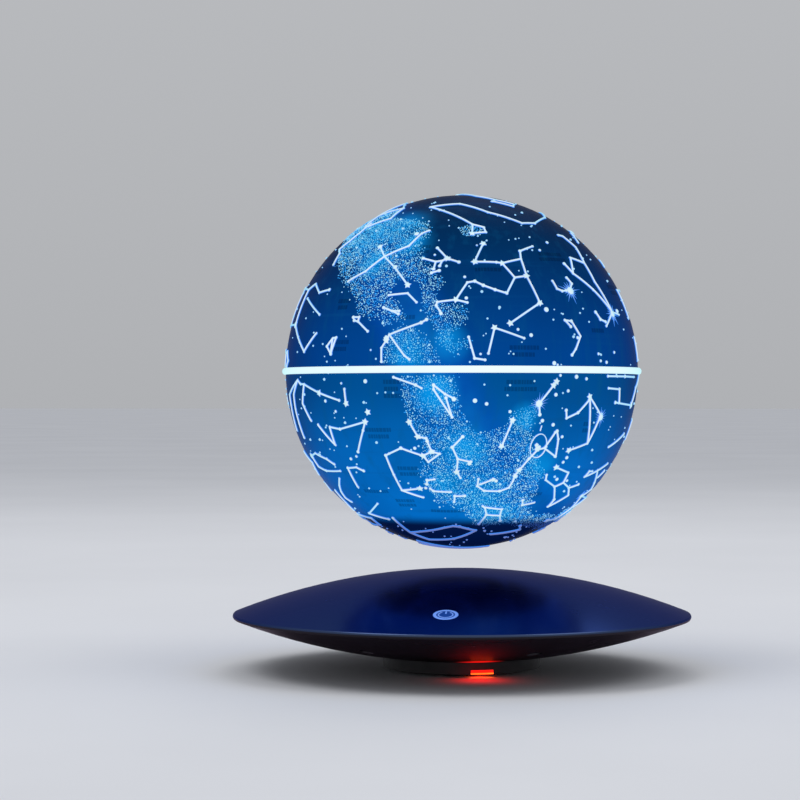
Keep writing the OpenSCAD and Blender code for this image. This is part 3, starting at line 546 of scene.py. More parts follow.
# Knots of light without rays: (right ascension, declination, radius in millimetres)
KNOTS = [
    (16.49, -25.9, 1.6), (16.54, -24.7, 1), (17.46, -38.3, 1.1), (17.38, -38.9, 0.9), (18.08, -31.6, 1),
    (19.85, 9.6, 1.4), (18.42, -9.2, 1.1), (16.9, -37, 1.2), (18.94, -27, 1.2), (19.02, -23.2, 0.9),
    (17.25, -13.2, 0.8), (18.7, 17.6, 0.9), (13.97, 19.6, 1.1), (19.66, 51.6, 1.2), (19.94, 35.4, 1.1)]

# Name plates without lettering: (right ascension, declination, width of each row in millimetres)
LABELS = [
    (15.72, 40.6, 12, 13.5), (17.62, 34.2, 10.5), (16.98, 5.6, 11.5, 10), (15, 12.6, 7.5),
    (21.02, 7.6, 8.5, 7.5), (19.3, 43.6, 5, 5), (19.42, 16.6, 6), (21.16, 21.6, 6, 4.5),
    (20.16, -20.6, 11.5, 9.5), (19.74, -6, 6.5, 6, 6.5), (19.6, -35, 8.5, 7.5), (20.86, -44.6, 12),
    (20, -50.2, 8, 7), (18.7, -54.6, 14), (17.04, -5, 12, 13.5), (15.22, -18.6, 5.5, 5), (16.1, -45.6, 6),
    (13.6, 28, 10, 8), (12.1, 12, 7, 9), (10.6, 30, 8), (8.2, 33, 9), (6.4, 35, 8, 10), (4.2, 26, 6),
    (2.7, 35, 9, 8), (0.9, 22, 7, 6), (23.4, 36, 11), (5, -14, 8, 7), (7.9, -12, 10), (10, -22, 7, 9),
    (12.4, -30, 9), (2.2, -24, 8), (0.2, -32, 10, 8), (6.6, -36, 9, 10), (9.6, -48, 9),
    (12.6, -42, 11, 9), (3.4, -48, 8)]

# Hazy places on the shell: (right ascension, declination, reach in millimetres)
HAZES = [
    (21.6, 54, 21), (20.4, 57, 17), (20.6, 38, 11), (19.7, 47, 12), (18.5, 8, 10), (19.4, 5, 12),
    (18.8, -7, 12), (18.2, -27, 15), (17.7, -45, 17), (17.2, -57, 15), (16.3, -32, 10), (18.6, -40, 11),
    (16.9, -15, 8)]

# Where the studs of the Milky Way lie on the part of the map round hour 18, as outlines
MILKY_OUTLINES = [
    # Down from the lizard and the swan to the arrow
    [(22.9, 64), (21.6, 64), (20.6, 62), (19.9, 60.5), (19.4, 58), (19.2, 52), (19.45, 48), (19.35, 42),
     (19.12, 37), (18.9, 33), (18.66, 29.5), (18.68, 26.5), (19.16, 26.5), (19.24, 29), (19.5, 30.5),
     (19.8, 30.5), (19.86, 27.2), (19.98, 25), (19.74, 22.6), (19.6, 20), (19.42, 16.5), (19.6, 14.6),
     (19.95, 13.6), (20, 16), (20.3, 16.4), (20.62, 18.3), (20.8, 22.5), (21.12, 28), (21.44, 30.5),
     (21.9, 36), (22.3, 41), (22.9, 48)],
    # The eagle
    [(19.55, 14.4), (19.88, 9), (19.95, 5), (19.9, -0.5), (18.72, -0.5), (18.72, 4), (18.9, 8),
     (19.05, 11.5), (19.3, 13.2)],
    # The western arm beside the kneeler's knees, which ends in a hook
    [(19.16, 26.8), (18.78, 26.8), (18.82, 23.5), (18.62, 20.4), (18.24, 21.2), (18.13, 18.6),
     (18.12, 15.8), (18.25, 13.2), (18.4, 11.8), (18.52, 10.6), (18.44, 8.2), (18.3, 8.4), (18.12, 10),
     (18.08, 7.4), (18.22, 5.6), (18.45, 4.6), (18.66, 6.4), (18.76, 9), (18.78, 12), (18.86, 14),
     (19.05, 17.5), (19.1, 21)],
    # The broad southern field, from the shield to the altar
    [(19.55, 0), (19.5, -4), (19.47, -14.5), (19.35, -18), (19.2, -21.3), (19.08, -25), (19.15, -30),
     (19.32, -34.5), (19.2, -39.7), (19.12, -44), (18.95, -50), (18.55, -52), (18.3, -54.5),
     (18.02, -57.5), (17.83, -62), (17.6, -64.5), (17.2, -63.5), (16.75, -62.8), (16.4, -62), (15.4, -66),
     (14.4, -66), (14.3, -58), (15.3, -57), (16, -55), (16.1, -46.5), (16.15, -40), (16.08, -36.5),
     (16.2, -33.5), (16.4, -31.5), (16.55, -27), (16.67, -21), (16.75, -17), (16.62, -13.8),
     (16.62, -11.6), (16.88, -11), (17.08, -12.7), (17.25, -14.8), (17.28, -18), (17.5, -19), (17.7, -20),
     (17.9, -20.6), (18, -19), (18.1, -17.5), (18.2, -14.8), (18.35, -8.2), (18.36, 0)]]


def drawn_tilt(tilt):
    """Latitude on the globe of a declination, in radians. Middle latitudes sit nearer the equator."""
    return tilt - MAP_SQUEEZE * tilt * abs(tilt) * (1 - (2 * tilt / math.pi) ** 6)


def unit(turn, tilt):
    return np.array([math.cos(tilt) * math.cos(turn), math.cos(tilt) * math.sin(turn), math.sin(tilt)])


def units(turns, tilts):
    return np.stack([np.cos(tilts) * np.cos(turns), np.cos(tilts) * np.sin(turns), np.sin(tilts)], axis=1)


def map_turn(hours):
    return CAMERA_TURN - math.pi / 2 - (hours - MAP_HOUR) * HOUR


def true_direction(hours, degrees):
    """Unit vector to a place in the sky, before the map's squeeze."""
    return unit(map_turn(hours), math.radians(degrees))


def direction(hours, degrees):
    """Unit vector from the globe's centre to a place on its star map."""
    return unit(map_turn(hours), drawn_tilt(math.radians(degrees)))


def local_axes(out):
    """East and north on the globe at a direction."""
    north = np.array([0, 0, 1.0]) - out * out[2]
    if np.linalg.norm(north) < 0.01:
        north = np.array([1.0, 0, 0]) - out * out[0]
    north /= np.linalg.norm(north)
    return np.cross(north, out), north


def on_globe(spot, height):
    """The point at a height over the globe's surface, in the direction of spot from its centre."""
    return np.array(GLOBE_C) + spot / np.linalg.norm(spot) * (GLOBE_R + height)


class Surface:
    """Gathers many small raised solids on the globe into one mesh."""

    def __init__(self):
        self.points, self.faces, self.count = [], [], 0

    def add(self, points, faces):
        self.points.append(np.asarray(points, float))
        self.faces.extend([[i + self.count for i in face] for face in faces])
        self.count += len(points)

    def piece(self, name, material, slot, smooth=True):
        made = mesh_object(name, [tuple(p) for p in np.concatenate(self.points)], self.faces, material)
        if smooth:
            made.data.shade_smooth()
        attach(made, "globe")

    def button(self, out, rings, sides, turn=0.0, lobes=None):
        """A raised round or lobed solid: rings of (radius, height), from the buried edge to the crown."""
        east, north = local_axes(out)
        points = []
        for radius, height in rings:
            for k in range(sides):
                a = turn + 2 * math.pi * k / sides
                reach = radius * (lobes[k % len(lobes)] if lobes else 1.0)
                spot = out * GLOBE_R + (east * math.cos(a) + north * math.sin(a)) * reach
                points.append(on_globe(spot, height))
        points.append(np.array(GLOBE_C) + out * (GLOBE_R + rings[-1][1]))
        faces = [list(range(sides))[::-1]] + side_faces(len(rings), sides)
        last = (len(rings) - 1) * sides
        faces += [[last + k, last + (k + 1) % sides, len(points) - 1] for k in range(sides)]
        self.add(points, faces)

    def studs(self, outs, radii, sides=5):
        """Many small faceted studs, one at each row of outs."""
        north = np.array([0, 0, 1.0]) - outs * outs[:, 2:3]
        north /= np.linalg.norm(north, axis=1, keepdims=True)
        east = np.cross(north, outs)
        turns = rng.uniform(0, 2 * math.pi, len(outs))
        layers = []
        # Two rings and a crown, with their reach and height as shares of the stud's radius
        for share, rise in ((1.0, -0.1), (0.62, 0.75)):
            for k in range(sides):
                a = (turns + 2 * math.pi * k / sides)[:, None]
                spot = outs * GLOBE_R + (east * np.cos(a) + north * np.sin(a)) * radii[:, None] * share
                spot /= np.linalg.norm(spot, axis=1, keepdims=True)
                layers.append(spot * (GLOBE_R + radii[:, None] * rise))
        layers.append(outs * (GLOBE_R + radii[:, None] * 0.95))
        points = np.stack(layers, axis=1).reshape(-1, 3) + np.array(GLOBE_C)
        pattern = [list(range(sides))[::-1]]
        for k in range(sides):
            after = (k + 1) % sides
            pattern += [[k, after, after + sides, k + sides], [k + sides, after + sides, 2 * sides]]
        step = 2 * sides + 1
        self.add(points, [[step * n + i for i in face] for n in range(len(outs)) for face in pattern])

    def plate(self, middle, along, up, length):
        """A thin bar that lies on the globe, starting along to the east and up to the north of middle."""
        east, north = local_axes(middle)
        half = LABEL_ROW_HEIGHT / 2
        corners = [(0, -half), (length, -half), (length, half), (0, half)]
        points = [on_globe(middle * GLOBE_R + east * (along + x) + north * (up + y), height)
                  for height in (-SUNK, LABEL_RISE) for x, y in corners]
        self.add(points, [[3, 2, 1, 0], [4, 5, 6, 7]] + side_faces(2, 4))

    def stroke(self, start, end, width, height):
        """A raised bar along the great circle from start to end."""
        angle = math.acos(float(np.clip(start @ end, -1, 1)))
        steps = max(1, math.ceil(angle / math.radians(3)))
        across = np.cross(start, end)
        across /= np.linalg.norm(across)
        half = width / 2
        outline = [(-half, -SUNK), (-half * 0.76, height * 0.55), (-half * 0.32, height),
                   (half * 0.32, height), (half * 0.76, height * 0.55), (half, -SUNK)]
        centre, n = np.array(GLOBE_C), len(outline)
        points = []
        for i in range(steps + 1):
            t = i / steps
            out = (math.sin((1 - t) * angle) * start + math.sin(t * angle) * end) / math.sin(angle)
            points += [centre + out * (GLOBE_R + up) + across * side for side, up in outline]
        faces = [list(range(n)), [steps * n + k for k in range(n)][::-1]]
        faces += [[a, d, c, b] for a, b, c, d in side_faces(steps + 1, n)]
        self.add(points, faces)


def same_place(a, b):
    return abs(a[0] - b[0]) < 0.01 and abs(a[1] - b[1]) < 0.06


def figure_strokes():
    made = Surface()
    for chains in FIGURES.values():
        for chain in chains:
            spots = [direction(*star) for star in chain]
            for a, b in zip(spots, spots[1:]):
                made.stroke(a, b, STROKE_WIDTH, STROKE_HEIGHT)
    ring = near_ring(direction(*CLOUD_AT), *CLOUD_REACH)
    for a, b in zip(ring, ring[1:] + ring[:1]):
        made.stroke(a, b, CLOUD_LINE, STROKE_HEIGHT)
    made.stroke(direction(16.50, -17.8), direction(16.52, -19.6), CLOUD_LINE, STROKE_HEIGHT)
    return made


def near_ring(middle, across, up, steps=28):
    """Directions round an oval about middle."""
    east, north = local_axes(middle)
    ring = []
    for k in range(steps):
        a = 2 * math.pi * k / steps
        spot = middle * GLOBE_R + east * across * math.cos(a) + north * up * math.sin(a)
        ring.append(spot / np.linalg.norm(spot))
    return ring


def dome(made, out, radius, sides=12, turn=0.0, lobes=None):
    """A low rounded stud, flatter the wider it is."""
    top = min(0.85 * radius, 0.85 * MM)
    rings = [(radius, -SUNK), (radius * 0.95, top * 0.4), (radius * 0.7, top * 0.8), (radius * 0.3, top)]
    made.button(out, rings, sides, turn, lobes)


def figure_stars():
    """Round studs on the figures' stars and alone, and small pointed stars on the brightest."""
    made, done = Surface(), list(BRIGHT)
    for star in BRIGHT:
        dome(made, direction(*star), POINTED_R, 10, rng.uniform(0, 2 * math.pi), [1.0, 0.56])
    for chains in FIGURES.values():
        for star in [s for chain in chains for s in chain]:
            if not any(same_place(star, s) for s in done):
                done.append(star)
                dome(made, direction(*star), rng.uniform(0.62, 0.86) * MM)
    for hours, degrees, size in LONE:
        dome(made, direction(hours, degrees), LONE_SHARE * size * MM)
    return made


def field_stars():
    """Faint stars, scattered evenly but for the south pole, which comes close to the base."""
    outs = rng.normal(size=(FIELD_COUNT, 3))
    outs /= np.linalg.norm(outs, axis=1, keepdims=True)
    sizes = rng.choice(FIELD_SIZES, FIELD_COUNT, p=[0.45, 0.36, 0.19]) * MM
    clear = outs[:, 2] > -math.cos(BARE_POLE)
    made = Surface()
    made.studs(outs[clear], sizes[clear], sides=8)
    return made


def bursts():
    """Bright knots, some with rays of uneven length."""
    made = Surface()
    for hours, degrees, reach, knot in BURSTS:
        out = direction(hours, degrees)
        lobes = []
        for _ in range(RAYS):
            lobes += [float(rng.uniform(0.5, 1.0)), 0.24]
        rings = [(reach * MM, -SUNK), (reach * 0.97 * MM, 0.14 * MM), (reach * 0.5 * MM, 0.34 * MM)]
        made.button(out, rings, 2 * RAYS, rng.uniform(0, 2 * math.pi), lobes)
        dome(made, out, knot * MM, 14, 0.0, [1.0, 0.86])
    for hours, degrees, knot in KNOTS:
        turn = rng.uniform(0, 2 * math.pi)
        dome(made, direction(hours, degrees), knot * MM, 14, turn, [1.0, 0.8, 0.95])
    return made


def galactic_axes():
    """The galaxy's centre, a quarter turn along its plane, and its pole, before the map's squeeze."""
    pole, centre = true_direction(*GALAXY_POLE), true_direction(*GALAXY_CENTRE)
    side = np.cross(pole, centre)
    if side @ true_direction(20.5, 40) < 0:
        side = -side
    return centre, side, pole


def inside(outline, hours, degrees):
    """Which places lie within an outline."""
    found = np.zeros(len(hours), bool)
    for (h0, d0), (h1, d1) in zip(outline, outline[1:] + outline[:1]):
        if d0 != d1:
            crossed = (d0 > degrees) != (d1 > degrees)
            found ^= crossed & (hours < (h1 - h0) * (degrees - d0) / (d1 - d0) + h0)
    return found


def lattice(pitch):
    """Places spread over the globe about pitch apart, as (turn, latitude) in radians."""
    places = []
    for tilt in np.arange(-math.pi / 2 + pitch, math.pi / 2 - pitch / 2, pitch * 0.87):
        count = max(3, round(2 * math.pi * math.cos(tilt) / pitch))
        turns = 2 * math.pi * (np.arange(count) + rng.uniform()) / count
        places.append(np.stack([turns, np.full(count, tilt)], axis=1))
    places = np.concatenate(places)
    return places + rng.uniform(-0.42, 0.42, places.shape) * pitch * np.array([1, 0.87]) / np.stack(
        [np.maximum(np.cos(places[:, 1]), 0.2), np.ones(len(places))], axis=1)


def milky_way_places():
    """Directions of the Milky Way's studs: in its outlines near hour 18, on the galaxy's plane elsewhere."""
    turns, tilts = lattice(MILKY_PITCH / GLOBE_R).T
    table = np.radians(np.linspace(-90, 90, 361))
    true_tilts = np.interp(tilts, [drawn_tilt(t) for t in table], table)
    hours = (MAP_HOUR - (turns - CAMERA_TURN + math.pi / 2) / HOUR) % 24
    degrees = np.degrees(true_tilts)
    loose_hours = hours + rng.normal(0, 0.035, len(hours)) / np.cos(true_tilts)
    loose_degrees = degrees + rng.normal(0, 0.5, len(hours))
    mapped = np.any([inside(outline, loose_hours, loose_degrees) for outline in MILKY_OUTLINES], axis=0)
    centre, side, pole = galactic_axes()
    true = units(turns, true_tilts)
    along = np.degrees(np.arctan2(true @ side, true @ centre))
    off = np.degrees(np.arcsin(np.clip(true @ pole, -1, 1)))
    # Away from the outlines it wanders about the plane, with an uneven half-width in degrees
    reach = 7.5 + 2.2 * np.sin(np.radians(7 * along)) + 1.6 * np.sin(np.radians(17 * along + 60))
    hidden = np.abs(off - 2 * np.sin(np.radians(4 * along))) < reach + rng.normal(0, 0.8, len(off))
    hidden &= (along > 104) | (along < -48)
    # Lumps and thinner spots
    x, y, z = true.T
    lumps = np.sin(x * 31 + 2) * np.sin(y * 37) + np.sin(z * 43 + x * 23)
    keep = (mapped | hidden) & (rng.uniform(size=len(off)) < 0.84 + 0.12 * lumps)
    keep |= np.degrees(np.arccos(np.clip(true @ true_direction(*MILKY_KNOT), -1, 1))) < MILKY_KNOT_REACH
    keep &= np.abs(tilts) > EQUATOR_CLEAR
    return units(turns[keep], tilts[keep])


def milky_way(name, material):
    """The Milky Way's fine studs, as four pieces: two each side of the equator."""
    places = milky_way_places()
    sizes = rng.uniform(0.19, 0.3, len(places)) * MM
    quarters = (("north_a", 1, 1), ("north_b", 1, -1), ("south_a", -1, 1), ("south_b", -1, -1))
    for part, up, right in quarters:
        chosen = (places[:, 2] * up > 0) & (places[:, 0] * right >= 0)
        made = Surface()
        made.studs(places[chosen], sizes[chosen])
        made.piece(f"{name}_{part}", material, "globe_shell")


def label_plates():
    """Rows of short dark bars, in place of the figures' printed names."""
    made = Surface()
    for hours, degrees, *rows in LABELS:
        middle = direction(hours, degrees)
        for row, width in enumerate(rows):
            up = ((len(rows) - 1) / 2 - row) * LABEL_ROW_PITCH
            reach = -width / 2 * MM
            while reach < width / 2 * MM:
                bar = rng.uniform(0.7, 1.5) * MM
                made.plate(middle, reach, up, bar)
                reach += bar + LABEL_GAP
    return made


# ------------------------------------------------------------------ the globe's materials


def map_height(g):
    """Height on the globe, from -1 at its south pole to 1 at its north pole."""
    z = g.xyz()[2]
    return g.remap(z, GLOBE_C.z - GLOBE_R, GLOBE_C.z + GLOBE_R, -1, 1)


def haze_share(g):
    """1 in the middles of the map's hazy places, 0 away from them."""
    total = None
    for hours, degrees, reach in HAZES:
        spot = Vector(direction(hours, degrees)) * GLOBE_R + GLOBE_C
        share = g.remap(g.measured("DISTANCE", spot), 0.15 * reach * MM, reach * MM, 1, 0, smooth=True)
        total = share if total is None else g.math("MAXIMUM", total, share)
    return total



def lit_share(g):
    """1 where the lamps light the shell, 0 below the tray that they stand on."""
    return g.remap(map_height(g), TRAY_SHADOW - 0.03, TRAY_SHADOW + 0.035, smooth=True)


def plane_nearness(g, near, away):
    """1 on the galaxy's plane, 0 where its distance passes away; both as shares of the globe's radius."""
    _, _, pole = galactic_axes()
    middle = float(np.array(GLOBE_C) @ pole)
    along_pole = g.remap(g.measured("DOT_PRODUCT", pole), middle - GLOBE_R, middle + GLOBE_R, -1, 1)
    distance = g.math("ABSOLUTE", along_pole)
    return g.remap(distance, near, away, 1, 0, smooth=True)


def shell_glow(g):
    """Light through the shell: teal above, bluer below, deep behind the Milky Way, dark under the tray."""
    height = map_height(g)
    upper = g.mix(g.remap(height, 0.0, 0.85, smooth=True), (0.0, 0.082, 0.37), (0.0, 0.038, 0.12))
    lower = g.mix(g.remap(height, -0.7, -0.04, smooth=True), (0.002, 0.27, 0.88), (0.0, 0.115, 0.39))
    glow = g.mix(g.remap(height, -0.02, 0.02), lower, upper)
    # Deep blue behind the Milky Way's studs, and brighter haze in patches of it
    glow = g.mix(g.math("MULTIPLY", plane_nearness(g, 0.1, 0.27), 0.6), glow, (0.001, 0.09, 0.56))
    patches = g.math("MULTIPLY", plane_nearness(g, 0.04, 0.24), g.remap(g.noise(30, 4.0), 0.4, 0.62))
    glow = g.mix(g.math("MULTIPLY", patches, 0.5), glow, (0.006, 0.27, 0.76))
    haze = g.math("MULTIPLY", haze_share(g), g.remap(g.noise(55, 5.0), 0.35, 0.6, 0.5, 1.0))
    glow = g.mix(g.math("MULTIPLY", haze, 0.85), glow, (0.004, 0.46, 1.1))
    # Faint upright streaks and a few level ones from moulding, and slow unevenness
    streaks = g.noise(1.0, 4.0, g.stretched((260, 260, 9)))
    glow = g.mix(g.remap(streaks, 0.52, 0.75, 0.0, 0.3), glow, (0.006, 0.14, 0.32))
    levels = g.noise(1.0, 3.0, g.stretched((12, 12, 420)))
    glow = g.mix(g.remap(levels, 0.6, 0.75, 0.0, 0.28), glow, (0.006, 0.12, 0.36))
    glow = g.mix(g.remap(g.noise(22, 2.0), 0.4, 0.75, 0.0, 0.3), glow, (0.001, 0.04, 0.18))
    return g.mix(lit_share(g), (0.002, 0.014, 0.085), glow), streaks


def coat(tint, strength=1.0):
    """Sockets for a glow under a clear tinted skin, which deepens its colour where it is seen edge on."""
    return {"Coat Weight": 1.0, "Coat Roughness": 0.35, "Coat IOR": 1.03, "Coat Tint": (*tint, 1),
            "Emission Strength": strength}


def globe_plastic(name, share):
    """The shell's plastic, with its glow times share."""
    g = Graph(name, (0.0005, 0.004, 0.014), 0.38, 0.0, 0.0, **coat((0.56, 0.72, 0.78), share))
    glow, streaks = shell_glow(g)
    g.to_shader("Emission Color", glow)
    g.to_shader("Roughness", g.remap(g.noise(120, 4.0), 0.3, 0.7, 0.34, 0.46))
    g.bump(streaks, 0.08, 0.0001)
    return g.material


def painted_crown_share(g, rise):
    """Mask of the marks' painted shading: 0 at the shell's surface, 1 where a stroke or stud stands rise
    above it.
    """
    return g.remap(g.measured("DISTANCE", GLOBE_C), GLOBE_R + 0.2 * rise, GLOBE_R + rise, smooth=True)


def lit_ink(name, crown, painted_edge_shade, reach=0.55 * MM):
    """Raised strokes or studs that glow and are bluer edge on, with painted shading: paler on their crowns
    than at their edges.
    """
    g = Graph(name, (0.02, 0.03, 0.05), 0.5, 0.0, 0.1, **coat((0.74, 0.92, 0.96)))
    glow = g.mix(g.remap(g.noise(60, 3.0), 0.4, 0.75, 0.0, 0.35), crown, tuple(0.72 * c for c in crown))
    glow = g.mix(lit_share(g), (0.22, 0.22, 0.55), glow)
    # Painted shading: the glow turns a deeper blue towards each mark's edges
    glow = g.mix(painted_crown_share(g, reach), painted_edge_shade, glow)
    g.to_shader("Emission Color", glow)
    g.bump(g.noise(700), 0.1, 0.00005)
    return g.material


def milky_ink():
    """The Milky Way's studs: white-blue, with clearer blue ones among them."""
    g = Graph("milky_way_ink", (0.01, 0.02, 0.04), 0.5, 0.0, 0.1, **coat((0.66, 0.88, 0.94)))
    shade = g.remap(g.noise(620, 1.0), 0.4, 0.6, smooth=True)
    glow = g.mix(shade, (0.04, 0.44, 1.05), (0.66, 0.92, 1.06))
    glow = g.mix(g.math("MULTIPLY", haze_share(g), 0.55), glow, (0.1, 0.66, 1.0))
    glow = g.mix(lit_share(g), (0.03, 0.06, 0.25), glow)
    g.to_shader("Emission Color", glow)
    return g.material


def band_material():
    """The lit band on the equator, white and slightly uneven."""
    g = Graph("band_lit_white", (0.04, 0.05, 0.06), 0.4, 0.0, 0.2, **coat((0.86, 0.97, 0.98)))
    share = g.remap(g.noise(45), 0.4, 0.75, 0.0, 0.25)
    g.to_shader("Emission Color", g.mix(share, (1.0, 0.98, 1.0), (0.74, 0.9, 1.0)))
    g.bump(g.noise(900), 0.06, 0.00005)
    return g.material


def make_globe():
    paint(globe_plastic("globe_shell_blue", 1.0), "upper_hemisphere", "lower_hemisphere")
    paint(band_material(), "equator_ring")
    # The deep blue at the marks' edges is painted shading
    painted_edge_shade = (0.06, 0.27, 0.95)
    ink = lit_ink("figure_ink", (1.02, 0.95, 1.05), painted_edge_shade)
    figure_strokes().piece("figure_strokes", ink, "globe_shell", smooth=False)
    stars = lit_ink("star_ink", (1.0, 0.97, 1.0), painted_edge_shade)
    figure_stars().piece("figure_stars", stars, "globe_shell")
    bursts().piece("cluster_bursts", stars, "globe_shell")
    faint = lit_ink("field_ink", (0.62, 0.82, 1.0), painted_edge_shade, 0.15 * MM)
    field_stars().piece("field_stars", faint, "globe_shell")
    milky_way("milky_way", milky_ink())
    label_plates().piece("label_plates", globe_plastic("label_blue", 0.66), "globe_shell", smooth=False)


# ------------------------------------------------------------------ the base


def cover_material(name, tint, ior, glow):
    """Lacquer on a black moulding, with faint marks from handling; glow adds a painted red spill of the
    status light.
    """
    skin = coat(tint, 1.0 if glow else 0.0)
    g = Graph(name, (0.0012, 0.002, 0.006), 0.3, 0.0, 0.5, IOR=ior, **skin)
    g.blotchy("Base Color", g.noise(35, 4.0), 0.35, 0.7, (0.001, 0.0016, 0.005), (0.002, 0.003, 0.01))
    g.to_shader("Roughness", g.remap(g.noise(22, 6.0, rough=0.7), 0.35, 0.7, 0.2, 0.29))
    g.bump(g.noise(1800, 2.0), 0.04, 0.00004)
    if glow:
        # Painted light: the status light's red spill, as emission fading out from a spot just in front of
        # and above its window
        low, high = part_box("status_window")
        spot = Vector(((low.x + high.x) / 2, low.y - 7 * MM, high.z + 4 * MM))
        share = g.remap(g.measured("DISTANCE", spot), 1.5 * MM, PAINTED_SPILL_REACH, 1, 0, smooth=True)
        g.to_shader("Emission Color", g.mix(share, (0, 0, 0), (5.0, 0.045, 0.02)))
    return g.material


def lens_axes():
    """Middle, right, up-slope and outward directions of the touch lens's outer face."""
    lens = NODES["touch_lens"]
    turn = lens.matrix_world.to_3x3()
    outer = [f for f in lens.data.polygons if (turn @ f.normal).z > 0.6]
    area = sum(f.area for f in outer)
    middle = sum(((lens.matrix_world @ f.center) * f.area for f in outer), Vector()) / area
    out = sum(((turn @ f.normal) * f.area for f in outer), Vector()).normalized()
    right = Vector((1, 0, 0))
    return middle, right, out.cross(right), out


def raised_band(path, width, closed):
    """A low bar with bevelled edges along a path of (right, up) points on the touch lens."""
    middle, right, up, out = lens_axes()
    profile = [(-0.5, -0.3), (-0.5, 0.03), (-0.36, 0.09), (0.36, 0.09), (0.5, 0.03), (0.5, -0.3)]
    points, n, count = [], len(profile), len(path)
    for k, spot in enumerate(path):
        before = path[k - 1] if closed or k else spot
        after = path[(k + 1) % count] if closed or k < count - 1 else spot
        run = Vector((after[0] - before[0], after[1] - before[1])).normalized()
        for share, height in profile:
            x, y = spot[0] - run.y * share * width, spot[1] + run.x * share * width
            rise = height * MM - (x * x + y * y) / 2 / DOME_R
            points.append(middle + right * x + up * y + out * rise)
    faces = side_faces(count, n, closed)
    if not closed:
        faces += [list(range(n))[::-1], [(count - 1) * n + e for e in range(n)]]
    return points, faces


def arc(radius, start, end, steps):
    """Points (right, up) on an arc, with its angles in degrees anticlockwise from the right."""
    angles = [math.radians(start + (end - start) * k / steps) for k in range(steps + 1)]
    return [(radius * math.cos(a), radius * math.sin(a)) for a in angles]


def touch_mark(name, material, parts):
    points, faces = [], []
    for path, width, closed in parts:
        more, around = raised_band(path, width, closed)
        faces += [[i + len(points) for i in face] for face in around]
        points += more
    made = mesh_object(name, points, faces, material)
    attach(made, "base")


def make_touch_mark():
    """A ring round the edge of the touch lens, and the usual open circle and tick of an on-off key."""
    edge = min(LENS_HIGH.x - LENS_LOW.x, 10.2 * MM) / 2
    ink = glowing("mark_ink", (0.04, 0.06, 0.12), (0.15, 0.31, 0.88), 1.0, 0.25)
    touch_mark("mark_ring", ink, [(arc(edge - 0.75 * MM, 0, 352.5, 47), 1.25 * MM, True)])
    tick = [(0, 0.16 * edge), (0, 0.40 * edge), (0, 0.64 * edge)]
    circle = arc(0.56 * edge, 125, 415, 30)
    touch_mark("mark_key", ink, [(circle, 0.55 * MM, False), (tick, 0.6 * MM, False)])


def status_material():
    """Red window of the status light, with a painted glint: hot orange along its lower edge, standing in for
    its light on the floor under the foot.
    """
    low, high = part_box("status_window")
    g = Graph("status_red", (0.12, 0.004, 0.003), 0.4, 0.0, 0.3, **{"Emission Strength": 1.0})
    share = g.remap(g.xyz()[2], low.z, high.z)
    # Painted glint: hottest along the window's lower edge
    edge = g.mix(g.remap(share, 0.15, 0.45, smooth=True), (3.4, 0.36, 0.03), (1.3, 0.012, 0.005))
    dim = g.remap(g.noise(260), 0.35, 0.7, 0.0, 0.4)
    g.to_shader("Emission Color", g.mix(dim, edge, (0.7, 0.006, 0.003)))
    g.bump(g.noise(900), 0.08, 0.00005)
    return g.material


def spools(part):
    """Names of one part of the four drive coils."""
    return [f"coil_{part}_{i}" for i in range(1, 5)]


